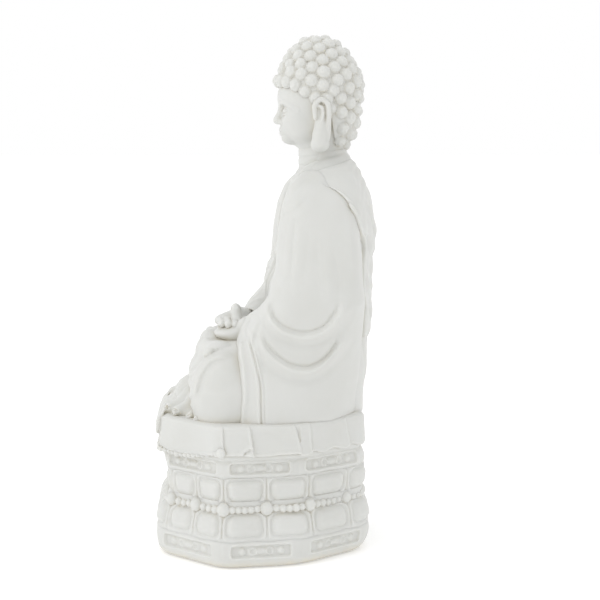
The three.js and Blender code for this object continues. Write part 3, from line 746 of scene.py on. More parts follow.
def beads():
    # Garland round the waist: a large bead at each petal seam, small ones between, on a strand.
    cs = ring_corners(RING - 0.5)
    half = [np.array([0, cs[0][1]])] + cs[:4] + [np.array([0, cs[3][1]])]
    s_at = np.concatenate([[0], np.cumsum([np.hypot(*(half[i + 1] - half[i])) for i in range(5)])])
    fine = np.linspace(0, s_at[-1], 900)
    hx = np.interp(fine, s_at, [p[0] for p in half])
    hy = np.interp(fine, s_at, [p[1] for p in half])
    # Corners eased, as a string would lie.
    win = 21
    ker = np.ones(2 * win + 1) / (2 * win + 1)
    hx = np.convolve(np.concatenate([-hx[win:0:-1], hx, -hx[-2:-win - 2:-1]]), ker, "valid")
    hy = np.convolve(np.concatenate([hy[win:0:-1], hy, hy[-2:-win - 2:-1]]), ker, "valid")
    scale = s_at[-1] / HALF
    hy = np.maximum(hy, -53.8)
    hy = hy + 1.2 * step(15, 55, hy)
    c = Clay((-75, -62, 29.0), (75, 61, 38.2), FINE * 1.1)
    rng = np.random.RandomState(5)
    for side in (1, -1):
        at = lambda S_, z: (side * float(np.interp(S_ * scale, fine, hx)), float(np.interp(S_ * scale, fine, hy)), z)
        for i, S0 in enumerate(SEAMS):
            R = 3.7 + 0.12 * rng.randn()
            if side > 0 or i not in (0, len(SEAMS) - 1):
                c.ball(at(S0, 33.4), (R, R, R * 1.06))
            if i + 1 == len(SEAMS):
                continue
            L = SEAMS[i + 1] - S0
            sag = lambda t: 33.6 - 0.7 * math.sin(math.pi * t)
            c.tube([at(S0 + L * t, sag(t)) for t in np.linspace(0, 1, 7)], 0.8)
            clear = 3.4
            k = int(round((L - 2 * clear) / 3.9))
            for j in range(k):
                t = (clear + (L - 2 * clear) * (j + 0.5) / k) / L
                r = min((L - 2 * clear) / k / 2 * 1.14, 2.3) * (1 + 0.05 * rng.randn())
                c.ball(at(S0 + L * t, sag(t) + 0.15 * rng.randn()), (r, r, r * 1.03))
    cast("cast_bead_garland", c, ["bead_garland"], 0.5)

    # Hem trim over the front, hung in swags between larger end beads.
    corner = path_points(1.3, pull=1.1)
    stops = [12, 13, 14, 15, 0, 1, 2]  # side front corner, round the front, to the other side front corner
    line = [corner[s] for s in stops]
    # Height of the string above the plinth at the places it passes.
    heights = {0: 66.0, 1: 61.6, 2: 61.6, 3: 60.4, 4: 61.6, 5: 61.6, 6: 66.0}
    P2 = smooth_line([(x, y, heights[i]) for i, (x, y) in enumerate(line)], 24)
    # Follow the flat faces, not the rounded curve.
    flat = []
    for i in range(len(line) - 1):
        for t in np.arange(24) / 24:
            xy = line[i] + (line[i + 1] - line[i]) * t
            flat.append((xy[0], xy[1], P2[i * 24 + int(t * 24)][2]))
    flat.append((*line[-1], heights[6]))
    flat = np.array(flat)
    c = Clay((-76, -63, 57.5), (76, -22, 69.5), FINE * 1.1)
    c.tube(flat[::4], 0.65)
    s = np.concatenate([[0], np.cumsum(np.linalg.norm(np.diff(flat, axis=0), axis=1))])
    pitch = 3.45
    n = int(s[-1] / pitch)
    for j in range(n + 1):
        at = s[-1] * j / n
        x = [np.interp(at, s, flat[:, k]) for k in range(3)]
        end = j in (0, n)
        mid = j % 9 == 4
        r = 2.6 if end else 1.95 if mid else 1.45 * (1 + 0.05 * rng.randn())
        c.ball(x, (r, r, r * (1.15 if end else 1.02)))
    cast("cast_hem_beads", c, ["hem_beads"], 0.5)


# ------------------------------------------------------------------ figure helpers
def stack(rows, p=2.3):
    """A body of superellipse sections: rows of height, centre x, centre y, half width, half depth."""
    rows = np.array(rows, float)
    cx, cy, a, b = [curve(rows[:, 0], rows[:, i]) for i in (1, 2, 3, 4)]
    z0, z1 = rows[0, 0], rows[-1, 0]
    power = p

    def fn(X, Y, Z):
        z = Z.ravel()
        sh = (1, 1, -1)
        p = power(z).reshape(sh) if callable(power) else power
        CX, CY, A, B = cx(z).reshape(sh), cy(z).reshape(sh), a(z).reshape(sh), b(z).reshape(sh)
        u, v = np.abs(X - CX) / A, np.abs(Y - CY) / B
        k = (u**p + v**p) ** (1 / p) + 1e-6
        g = np.sqrt((u ** (p - 1) / A) ** 2 + (v ** (p - 1) / B) ** 2) / k ** (p - 1)
        d = (k - 1) / np.maximum(g, 0.35 / np.maximum(A, B))
        return smax(smax(d, z0 - Z, 1.5), Z - z1, 3.0)

    return fn


def torso():
    c = Clay((-50, 0, 78.6), (50, 69, 232), MID)
    c.add(stack([
        (77.5, 0, 28, 46, 33), (100, 0, 28.6, 45, 32.6), (120, 0, 31.4, 44, 30), (145, 0, 34, 42, 28.6), (165, 0, 35.4, 41.5, 28.6),
        (185, 0, 37.5, 42, 29.4), (195, 0, 38, 41.5, 28.0), (203, 0, 38.3, 39.5, 26.0), (210, 0, 38.4, 35.5, 23.8), (216, 0, 38.3, 29.5, 21.4),
        (221.5, 0, 37.9, 23.5, 19.2), (226, 0, 37.0, 18.8, 17.0), (230, 0, 36.2, 16.0, 14.8), (236, 0, 36.0, 14.6, 13.6)], 2.2))
    # Chest and belly under the robe.
    for s in (1, -1):
        c.ball((s * 13, 19.5, 192), (14, 9, 14), 9)
    c.ball((0, 15, 160), (22, 11, 20), 10)
    # The collar's rim is higher at the nape than at the throat, and stands off the neck.
    rim = curve([0, 20, 24, 29, 35, 43, 51, 70], [217, 218.2, 220.6, 223.4, 225.8, 227.6, 229.4, 231])
    c.keep(lambda X, Y, Z: Z - rim(Y.ravel()).reshape(1, -1, 1), 1.6)

    neck_r = curve([212, 216, 220, 225, 229, 232.5], [20.4, 18.6, 16.9, 15.1, 14.1, 13.4])
    c.add(lambda X, Y, Z: smax(np.hypot(X, Y - 37.3) - neck_r(Z.ravel()).reshape(1, 1, -1), Z - (230.8 + 0.14 * (Y - 36)), 1.0), 2.6)

    # Opening of the robe at the chest, seen from the front: bare skin above, an under-robe below.
    edge = curve([146, 152, 160, 172, 186, 200, 212, 220, 226, 231], [1, 6, 11.5, 17, 20.5, 21.5, 20.5, 18, 15.5, 14.5])

    def opening(X, Y, Z):
        w = edge(Z.ravel()).reshape(1, 1, -1)
        side = np.abs(X) - w
        front = step(34, 30, Y) * np.ones_like(X)
        low = step(146, 150, Z)
        sink = -2.3 * step(0.5, -1.4, side)
        roll = 1.0 * bell(side - 1.5, 1.3) - 0.75 * bell(side - 3.7, 0.5) + 0.45 * bell(side - 5.2, 0.9) - 0.6 * bell(side - 7.4, 0.6)
        lap = 0.8 * bell(side - 11.5, 2.6) - 0.4 * bell(side - 15.5, 1.6)
        return (sink * low + (roll + lap * step(226, 210, Z)) * step(143, 150, Z)) * front

    c.swell(opening)

    def under_robe(X, Y, Z):
        w = edge(Z.ravel()).reshape(1, 1, -1)
        m = step(-0.2, -2.0, np.abs(X) - w) * step(34, 30, Y)
        top = 171.5 - 0.012 * X * X
        lay = 1.25 * step(top + 0.6, top - 0.6, Z) + 0.55 * bell(Z - top + 1.2, 0.9)
        fold = 0.0
        for k, z in enumerate((166.2, 161.0, 155.8)):
            fold = fold + 0.45 * bell(Z - (z - 0.02 * X * X), 1.5)
        tie = 1.3 * bell(np.hypot(X * 0.75, (Z - 164)) , 2.6) + 0.9 * bell(np.hypot((np.abs(X) - 4.3) * 0.8, (Z - 164.5) * 1.2) , 2.0)
        tails = 0.8 * bell(np.abs(X) - (1.2 + (163 - Z) * 0.16), 1.1) * step(150, 153, Z) * step(164, 161, Z)
        return (lay + fold * step(172, 169, Z) + tie + tails) * m

    c.swell(under_robe)
    # Collar-bones and a soft line down the breast.
    c.swell(lambda X, Y, Z: (0.45 * bell(Z - (214.5 - 0.1 * np.abs(X)), 1.5) * step(16, 8, np.abs(X)) - 0.4 * bell(X, 1.3) * step(210, 200, Z) * step(176, 184, Z)
                             - 0.35 * bell(Z - (181 - 0.035 * (np.abs(X) - 9) ** 2), 1.4) * step(16, 10, np.abs(X))) * step(32, 28, Y))

    # Collar of the robe round the neck.
    def yoke(X, Y, Z):
        # Rings of the collar, dipping towards the breast.
        out = np.zeros(np.broadcast_shapes(X.shape, Y.shape, Z.shape), f32)
        for drop, amp, w in ((1.6, 0.35, 1.1), (5.4, 0.42, 1.3), (10.5, 0.4, 1.6), (16.0, 0.32, 1.8)):
            zc = rim(Y.ravel()).reshape(1, -1, 1) - drop - 0.010 * X * X
            out = out + amp * (bell(Z - zc, w) - 0.75 * bell(Z - zc + 1.9 * w, 0.7 * w)) * step(19, 25, Y)
        return out

    c.swell(yoke)

    # Broad folds falling from the left shoulder across the back, and the seat's slack below.
    def back(X, Y, Z):
        m = step(42, 52, Y)
        out = np.zeros(np.broadcast_shapes(X.shape, Y.shape, Z.shape), f32)
        for k, (x0, z0, x1, z1, a) in enumerate((
            (30, 206, -34, 150, 0.9), (33, 190, -30, 128, 0.8), (34, 172, -20, 106, 0.8), (12, 214, -36, 178, 0.7), (34, 150, 2, 92, 0.6), (-38, 120, -20, 88, 0.6))):
            q, t, sd = line2(X, Z, smooth_line([(x0, z0), ((x0 + x1) / 2 + 3, (z0 + z1) / 2 - 5), (x1, z1)], 5))
            out += a * (bell(q, 2.6) - 0.55 * bell(q - 3.6, 1.6)) * taper(t, 0.2, 0.3)
        return out * m

    c.swell(back)
    HELD["torso"] = c
    cast("cast_torso", c, ["torso"], 0.35)


def sleeve(s):
    c = Clay((4, -22, 78.6), (71, 58, 221), MID)
    c.add(stack([
        (77.5, 47.6, 21, 20.6, 34.3), (95, 47.8, 21.2, 20.8, 34.3), (110, 47.2, 21.4, 20.4, 34.6), (119, 46.4, 21.8, 20, 34.2), (128, 45.4, 23.4, 19.4, 31.4),
        (136, 44.4, 26, 18.8, 28.2), (145, 43, 28.6, 18.4, 26), (161, 41, 30.0, 18.2, 24.6), (176, 39, 30.8, 18.2, 24.2), (190, 36.6, 31.4, 18.2, 23.6),
        (201, 33.2, 32.4, 17.2, 22.1), (209, 29.2, 34.0, 14.6, 19.2), (215, 24.6, 35.6, 11.4, 16.2), (220, 20, 36.6, 8, 11.5)],
        curve([79, 100, 114, 126, 140, 200], [4.6, 4.6, 4.2, 3.3, 2.7, 2.6])))
    # The sleeve's back lies flat along the back panel.
    back_in = curve([84, 100, 130, 160, 180, 192, 202, 212], [0, 0, 0.3, 0.2, 1.5, 5, 9.5, 14])
    bi = lambda Z: back_in(Z.ravel()).reshape(1, 1, -1)
    c.add(lambda X, Y, Z: smax(rbox(X - 39.5 + 0.4 * bi(Z), Y - 42.0, 18.5 - bi(Z), 12.6 - 0.45 * bi(Z), 8.0), smax(78 - Z, Z - 207, 8), 6), 5)
    # Forearm inside the sleeve, running in to the wrist over the lap.
    c.tube([(44, 15.5, 139), (41, 5.5, 131.5), (31, 1.2, 129.8), (20, -3.4, 129.2)], [13.2, 12.0, 10.0, 8.0], 7, inner=4)
    # Lower edge of the cuff where it spreads over the thigh.
    c.tube([(49, -1.0, 118.0), (38, -3.6, 120.8), (25, -5.4, 123.2)], [11, 9.2, 7], 6, inner=4)
    c.cut(lambda X, Y, Z: cap(X, Y, Z, (7, -13, 128.5), (16, -7.5, 130.0), 6.6, 5.8), 1.5, ((2, -20, 120), (24, 0, 138)))

    # The foot of the robe rounds in towards the back, leaving the seat's corner bare.
    foot = curve([-30, 0, 17, 30, 40, 48, 55, 62], [69.5, 69.0, 65.0, 58.5, 51.0, 41.5, 30, 14])
    grow = curve([80, 92, 104, 116, 130, 146], [0, 0.8, 2.4, 5.5, 11, 20])
    c.keep(lambda X, Y, Z: 0.78 * (np.abs(X) - foot(Y.ravel()).reshape(1, -1, 1) - grow(Z.ravel()).reshape(1, 1, -1)), 5.0)

    near = lambda X: step(34, 44, X)
    m = s < 0
    dy = -1.6 if m else 0.0
    U1 = smooth_line([(2.0 + dy, 148), (3.3, 139.9), (6.1, 135.8), (10.3, 132.4), (15.9, 130.2), (21.4, 129.1), (27.0, 129.5), (32.6, 131.3), (37.2, 134.6), (40.4, 139.0), (42.7, 143.4), (43.6, 149)], 3)
    U2 = smooth_line([(-3.2, 134), (-1.3, 125.8), (1.9, 120.9), (6.4, 116.8), (12.0, 112.9), (17.5, 110.8), (24.0, 110.1), (30.3, 111.6), (35.8, 115.1), (40.1, 119.9), (42.9, 125.5), (44.4, 132)], 3)
    U3 = smooth_line([(-8, 133), (-5.6, 124), (-3.2, 115), (-1.6, 104)], 4)

    def folds(X, Y, Z):
        out = np.zeros(np.broadcast_shapes(X.shape, Y.shape, Z.shape), f32)
        n = near(X)
        q, t, sd = line2(Y, Z, U1)
        # sd > 0 is inside the U.
        out = out + (2.3 * np.where(sd > 0, bell(q, 1.35), bell(q, 2.9)) - 0.85 * bell(q - 2.7, 0.7) * (sd > 0) - 0.5 * bell(q - 5.6, 1.8) * (sd < 0)) * taper(t, 0.14, 0.14) * n
        q, t, sd = line2(Y, Z, U2)
        out = out + (2.2 * np.where(sd > 0, bell(q, 1.4), bell(q, 3.2)) - 0.85 * bell(q - 2.8, 0.7) * (sd > 0) - 0.5 * bell(q - 6.0, 2.0) * (sd < 0)) * taper(t, 0.16, 0.14) * n
        q, t, sd = line2(Y, Z, U3)
        out = out + (0.8 * bell(q, 1.5) - 0.4 * bell(q - 2.6, 1.0) * (sd > 0)) * taper(t, 0.15, 0.25) * n
        for pts, a in (([(-1.5, 141), (-4.5, 134), (-7.0, 127), (-8.2, 120)], 0.7), ([(4.5, 150), (1.2, 143), (-1.2, 137), (-1.0, 130)], 0.6), ([(-7.5, 139), (-10.4, 132), (-12, 125)], 0.5)):
            q, t, sd = line2(Y, Z, smooth_line(pts, 4))
            out = out + a * (bell(q, 1.2) - 0.6 * bell(q - 2.2, 0.9) * (sd > 0)) * taper(t, 0.25, 0.25) * n
        # A soft ridge down the front of the upper arm, creases at the front of the shoulder.
        for pts, a, w in (
            ([(14, 200), (11.8, 184), (10.6, 169.1), (8.7, 156)], 0.5, 2.3), ([(20.5, 190), (18.6, 172), (15, 156)], 0.3, 2.8),
            ([(23.5, 208.5), (17.5, 202.5), (10.7, 199.2), (7, 198)], 0.5, 1.7), ([(30, 221), (23.7, 217.4), (17.6, 211.5), (11, 207)], 0.5, 1.7),
            ([(33, 176), (36, 158), (34, 146)], 0.4, 3.0), ([(47.5, 196), (49.6, 176), (49.6, 150)], 0.5, 2.4),
        ):
            q, t, sd = line2(Y, Z, smooth_line(pts, 4))
            out = out + a * (bell(q, w) - 0.7 * bell(q - 1.9 * w, 0.55 * w) * (sd > 0)) * taper(t, 0.25, 0.25) * step(22, 30, X)
        return out

    c.swell(folds)

    # Double-line hem of the front edge falling to the seat.
    h1 = curve([80, 88, 95, 104, 112, 120, 127], [-14.2, -13.8, -12.9, -12.9, -13.6, -14.8, -15])
    h2 = curve([80, 88, 95, 104, 112, 120, 127, 133], [-1.2, -1.4, -1.5, -1.9, -3.6, -5.6, -7.6, -9])

    def hem(X, Y, Z):
        z = Z.ravel()
        a, b = h1(z).reshape(1, 1, -1), h2(z).reshape(1, 1, -1)
        low = step(131, 124, Z)
        m = step(46, 54, X)
        return low * m * (1.5 * bell(Y - a - 2.0, 1.7) - 0.35 * bell(Y - a - 6.0, 2.2) + 0.5 * bell(Y - b + 1.5, 1.0) - 1.15 * bell(Y - b, 0.55) - 0.7 * bell(Y - b - 1.9, 0.5))

    c.swell(hem)
    # Cuts the front edge crisply in side view.
    c.keep(lambda X, Y, Z: np.where(Z < 127, h1(Z.ravel()).reshape(1, 1, -1) - Y, -8 + 0 * Z) - 50 * (np.abs(X) < 44), 1.0)
    # Slack at the hem behind.
    c.swell(lambda X, Y, Z: 0.5 * bell(np.hypot((Y - 36) * 0.35, Z - 97), 5.0) * near(X))
    # Underside folds of the forearm, seen from the front.
    def cuff(X, Y, Z):
        out = 0.0
        for x0, a in ((24, 0.8), (31, 0.7), (38, 0.7)):
            out = out + a * bell(X - x0 - (Z - 128) * 0.25 - (Y + 4) * 0.2, 1.6)
        return out * step(6, -2, Y) * step(108, 116, Z) * step(146, 140, Z)

    c.swell(cuff)
    if not m:
        HELD["sleeve"] = c
    if m:
        c.ax[0] = -c.ax[0][::-1]
        c.d = np.ascontiguousarray(c.d[::-1])
    cast("cast_right_sleeve" if m else "cast_left_sleeve", c, ["right_sleeve" if m else "left_sleeve"], 0.38)


def drape():
    """The robe's end, brought over the left shoulder and hanging down the back."""
    c = Clay((-12, 26, 116), (53, 71, 228), MID)
    X, Y, Z = c.whole()
    P = np.stack(np.broadcast_arrays(X, Y, Z), -1).reshape(-1, 3).astype(float)
    inside = P[:, 0] > 5
    arm = np.full(len(P), 40.0)
    arm[inside] = HELD["sleeve"].sample(P[inside])
    trunk = HELD["torso"].sample(P)
    hard = np.minimum(trunk, arm).reshape(c.d.shape)
    under = smin(trunk, arm, 7.0).reshape(c.d.shape)
    # A layer laid a little over what is below it, sinking away towards the throat.
    fade = step(29, 46, Y) * np.ones_like(Z)
    lift = fade * (0.8 + 0.55 * step(182.4, 183.6, Z) * step(22, 32, X)) - (1 - fade) * 0.9
    c.d = np.maximum(under - lift, -(hard + 2.4)).astype(f32)
    rim = curve([0, 20, 24, 29, 35, 43, 51, 70], [217, 218.2, 220.6, 223.4, 225.8, 227.6, 229.4, 231])
    c.d = smax(c.d, Z - (rim(Y.ravel()).reshape(1, -1, 1) - 3.2 - 0.003 * X * X), 0.6)
    # Outline of the layer: front edge over the shoulder in side view, and in back view.
    front = curve([116, 150, 180, 184, 190.5, 201.3, 207, 210, 212, 216, 228], [54.4, 54.6, 54.4, 55.4, 53.4, 48.8, 44.2, 39.6, 34.5, 29, 22])
    left = curve([116, 122, 135, 146.2, 147.4, 165, 182.6, 184.2, 196, 206, 214, 220], [30.5, 31.0, 32.5, 33.5, 35.6, 36.2, 37.2, 41, 48, 53, 57, 57])
    right = curve([116, 122, 150, 180, 200, 212, 220, 228], [4, 2.6, -1.2, -3.6, -2.4, 0, 3, 6])
    z = Z.ravel()
    F = front(z).reshape(1, 1, -1)
    c.d = smax(c.d, F - Y, 0.6)
    c.d = smax(c.d, X - left(z).reshape(1, 1, -1), 0.6)
    c.d = smax(c.d, right(z).reshape(1, 1, -1) - X, 0.6)
    # Zigzag hem.
    tri = np.abs(((X + 1) / 5.6) % 2 - 1)
    c.d = smax(c.d, (121.5 + 3.2 * tri + 0.08 * (X - 2)) - Z, 0.5).astype(f32)

    def pleats(X, Y, Z):
        spread = 1 + (200 - Z) * 0.0012
        q = (X - 2) * spread
        m = step(50, 56, Y)
        out = 0.8 * (np.abs((q / 5.6) % 2 - 1) - 0.5) * step(206, 186, Z) * m
        # Turned-back edge.
        e = left(Z.ravel()).reshape(1, 1, -1) - X
        out = out + 0.7 * bell(e - 1.4, 1.2) - 0.5 * bell(e - 3.6, 0.6)
        e2 = Y - front(Z.ravel()).reshape(1, 1, -1)
        out = out + (0.6 * bell(e2 - 1.2, 1.0) - 0.45 * bell(e2 - 3.0, 0.6)) * step(186, 192, Z)
        return out

    c.swell(pleats)
    cast("cast_back_drape", c, ["back_drape"], 0.4)


def legs():
    c = Clay((-72, -56, 78.8), (72, 8, 128), MID)
    for s in (1, -1):
        c.tube([(s * 24, 6, 102), (s * 38, -8, 100), (s * 44, -19, 98)], [17, 17.6, 16.5], 3, inner=4)
        # Knee: full and round, standing nearly straight on the seat.
        c.ball((s * 44, -24.4, 95.6), (18.8, 16.0, 19.2), 3)
        c.add(lambda X, Y, Z, s=s: smax(ell(X, Y, Z * 0 + 0, (s * 43.6, -23.4, 0), (18.2, 15.2, 50)), smax(78.5 - Z, Z - 96, 3), 3), 6)
        c.add(lambda X, Y, Z, s=s: smax(rbox(X - s * 45.2, Y + 12.5, 18.2, 15, 9), smax(78.5 - Z, Z - 101, 10), 9), 6)
        c.tube([(s * 44.5, -19, 97), (s * 46, -4, 97)], [17.2, 17.6], 3)
        # The robe above the knee, under the foot laid on it.
        c.ball((s * 42, -20.5, 108), (17.5, 13.5, 10.5), 6)
        c.tube([(s * 44, -22, 96), (s * 24, -28, 99), (0, -29, 100)], [15, 13.0, 12.0], 5, inner=4)
        c.ball((s * 29, -13, 113.5), (17, 11.5, 7.8), 5)
    c.ball((0, -22, 100), (34, 17, 18), 8)
    c.ball((0, -16, 109), (34, 14, 11.5), 8)
    c.ball((0, -19, 111.8), (37, 13, 8.6), 5)
    # Feet, soles up, each on the opposite thigh.
    for s, dz in ((1, 0.0), (-1, 1.6)):
        c.tube([(s * -3, -30.5, 112.5 + dz), (s * 14, -28.5, 115.5 + dz), (s * 31, -24.8, 116.0 + dz)], [7.6, 7.2, 6.4], 3, inner=3)
        c.ball((s * 32, -24.2, 116.2 + dz), (9.5, 8.2, 5.2), 2.5)
        for k in range(5):
            a = (s * (38.5 + 1.0 * (k == 0)), -30.6 + k * 3.5, 116.4 + dz - 0.25 * abs(k - 1.5))
            b = (s * (42.5 + 1.2 * (k == 0) - 0.4 * k), -30.2 + k * 3.45, 117.6 + dz - 0.25 * k)
            r = 2.5 if k == 0 else 2.05 - 0.06 * k
            c.tube([a, b], [r, r * 0.94], 0.7)
            c.ball((b[0], b[1], b[2] + 0.2), (r * 1.12,) * 3, 0.4)
        # Arch of the sole.
        c.ball((s * 16, -27, 124.0 + dz), (8, 4.5, 3.0), 3, sub=True)

    # Robe folds wrapping the knees: long curves seen from the side and front.
    def wraps(X, Y, Z):
        ax = np.abs(X)
        out = np.zeros(np.broadcast_shapes(X.shape, Y.shape, Z.shape), f32)
        q, t, sd = line2(Y, Z, smooth_line([(-40.6, 92), (-37.5, 102.4), (-36.1, 106.6), (-32.7, 112.1), (-29.2, 115.6), (-24, 117.4), (-16, 118)], 4))
        out += (1.1 * bell(q, 1.5) - 0.6 * bell(q - 2.8, 1.1) * (sd < 0)) * taper(t, 0.2, 0.2) * step(30, 38, ax)
        q, t, sd = line2(Y, Z, smooth_line([(-42.5, 101), (-38.8, 110), (-32, 117.4), (-24, 121), (-16, 122)], 4))
        out += 0.7 * bell(q, 1.3) * taper(t, 0.2, 0.2) * step(28, 38, ax)
        for k, (x0, z0, x1, z1, x2, z2, a) in enumerate((
            (50, 90, 30, 84.5, 8, 88, 0.9), (54, 96, 32, 90, 10, 94, 0.8), (52, 103, 32, 97, 12, 100, 0.8), (44, 109, 28, 104, 14, 105.5, 0.7))):
            q, t, sd = line2(ax, Z, smooth_line([(x0, z0), (x1, z1), (x2, z2)], 6))
            out += a * (bell(q, 1.5) - 0.5 * bell(q - 2.7, 1.0)) * taper(t, 0.25, 0.25) * step(-28, -36, Y)
        return out

    c.swell(wraps)
    c.keep(lambda X, Y, Z: 79.2 - Z, 0.3)
    cast("cast_crossed_legs", c, ["crossed_legs"], 0.38)


def fan():
    """Pleated hem of the robe, spread on the seat in front of the shins."""
    c = Clay((-60, -66, 64), (60, -30, 106), FINE * 1.2)
    prof = curve([64, 70, 75, 79.5, 82, 84.5, 87, 90, 93.5, 97, 101, 105], [-60, -60.4, -60.4, -59.6, -56.9, -53.9, -51.8, -50.2, -48.0, -43.4, -38.4, -34])
    wide = curve([64, 72, 79.5, 84, 90, 97, 105], [36, 37.5, 44, 43, 38, 29, 19])
    X, Y, Z = c.whole()
    z = Z.ravel()
    B = (prof(z) + 26).reshape(1, 1, -1) * -1
    A = wide(z).reshape(1, 1, -1)
    u, v = X / A, (Y + 26) / B
    k = (np.abs(u) ** 2.4 + np.abs(v) ** 2.4) ** (1 / 2.4)
    g = np.sqrt((np.abs(u) ** 1.4 / A) ** 2 + (np.abs(v) ** 1.4 / B) ** 2) / np.maximum(k, 1e-3) ** 1.4
    d = (k - 1) / np.maximum(g, 0.01)
    d = np.maximum(d, Y + 30)
    # Pleats fan out from the ankles; their edges turn alternately over and under.
    ang = np.arctan2(X, -(Y + 8)) * np.ones_like(Z)
    wob = ang + 0.035 * np.sin(Z * 0.5 + ang * 9)
    n = 31.0
    ph = wob * n
    saw = np.abs(((ph / math.pi) % 2) - 1)
    ruff = 1.9 * (saw**0.8 - 0.55)
    tiers = 0.8 * np.sin((Z - 80) * 0.62 + 1.4 * np.sin(ang * 5.0))
    d = d - (ruff * step(104, 96, Z) + tiers * step(80, 84, Z) * step(101, 96, Z) * 0.8)
    # It hangs over the seat's front edge in short pleats with a zigzag hem.
    over = curve([64, 72, 76, 79, 81, 83], [-61.2, -61.3, -60.9, -59.9, -58.3, -56.0])
    sheet = np.maximum(over(z).reshape(1, 1, -1) - 0.7 * (saw - 0.5) - Y, Y + 56.4)
    sheet = smax(sheet, np.abs(X) - (34.5 - 0.1 * (82 - Z)), 1.0)
    sheet = smax(smax(sheet, (67.2 + 3.2 * saw + 0.0016 * X * X) - Z, 0.5), Z - 83.0, 1.0)
    d = smax(d, 80.6 - Z, 0.3)
    d = smin(d, sheet, 2.2)
    c.d = (np.broadcast_to(d, c.d.shape) * 0.8).astype(f32)
    # Rolled folds on the seat with open ends.
    for s in (1, -1):
        for (x0, y0, z0, x1, y1, z1, r) in ((14, -46, 87, 17.0, -54.6, 84.2, 2.7), (25, -44, 87, 28.5, -53.4, 84.0, 2.7), (34, -41, 86, 39.0, -49.6, 83.9, 2.6),
                                            (41, -36, 83.4, 46.0, -42.4, 82.0, 1.9), (48, -33, 82.6, 54.0, -38.2, 81.4, 1.7), (4.5, -47, 87.5, 5.6, -55.4, 84.4, 2.7)):
            if x0 < 20:
                continue
            c.tube([(s * x0, y0, z0), (s * x1, y1, z1)], [r * 1.5, r * 0.9], 4.2)
            e = np.array([s * x1, y1, z1]) + (np.array([s * x1, y1, z1]) - np.array([s * x0, y0, z0])) / 10.0 * (r * 0.55)
            c.ball(e + np.array([0, 0, 0.5]), (r * 0.6, r * 1.0, r * 0.5), 1.2, sub=True)
    cast("cast_robe_hem", c, ["robe_hem_fan"], 0.45)


def hand(s):
    """s = 1 is the left hand, which lies below; s = -1 the right, laid on it."""
    z = 124.6 if s > 0 else 130.2
    c = Clay((-30, -34, 117) if s < 0 else (-30, -34, 113), (30, 2, 145), FINE)
    c.ball((s * 7.5, -17.0, z), (14.5, 10.4, 4.4), 0)
    c.ball((s * 14, -13.5, z + 0.2), (9, 8.0, 5.4), 3)
    # Heel of the thumb.
    c.ball((s * 11.5, -11.6, z + 2.6), (6.5, 4.4, 4.4), 2.5)
    # Hollow of the palm.
    if s < 0:
        c.ball((s * 5, -18, z + 7.4), (9, 6.0, 4.6), 2.5, sub=True)
    ys0, ys1 = [-11.2, -15.6, -20.0, -24.0], [-10.6, -14.8, -19.0, -22.8]
    ln = [17.0, 19.4, 18.2, 14.6]
    for k in range(4):
        a = (s * -0.5, ys0[k], z + 0.5)
        b = (s * -(ln[k] * 0.55), (ys0[k] + ys1[k]) / 2, z + 1.1 - 0.18 * abs(k - 1.5))
        e = (s * -ln[k], ys1[k], z + 0.3)
        r = 2.5 if k < 3 else 2.25
        c.tube([a, b, e], [r, r * 0.98, r * 0.86], 0.45)
    # Thumb: up from its heel, leaning in until the tips almost meet.
    ty = -14.6
    if s > 0:
        c.tube([(13.0, -12.4, 126), (12.0, ty + 0.6, 131.5), (8.6, ty, 136.6), (2.7, ty, 138.4)], [3.8, 3.1, 2.8, 2.3], 1.4, inner=1.0)
    else:
        c.tube([(-13.0, -12.4, 130), (-12.0, ty + 0.6, 133.8), (-8.6, ty, 137.0), (-2.7, ty, 138.5)], [3.8, 3.1, 2.8, 2.3], 1.4, inner=1.0)
    # Wrist, running into the sleeve.
    c.tube([(s * 15, -11.8, z + 0.8), (s * 22, -7.5, 129.8)], [5.6, 6.2], 3)
    cast("cast_left_hand" if s > 0 else "cast_right_hand", c, ["left_hand" if s > 0 else "right_hand"], 0.6)


# ------------------------------------------------------------------ head


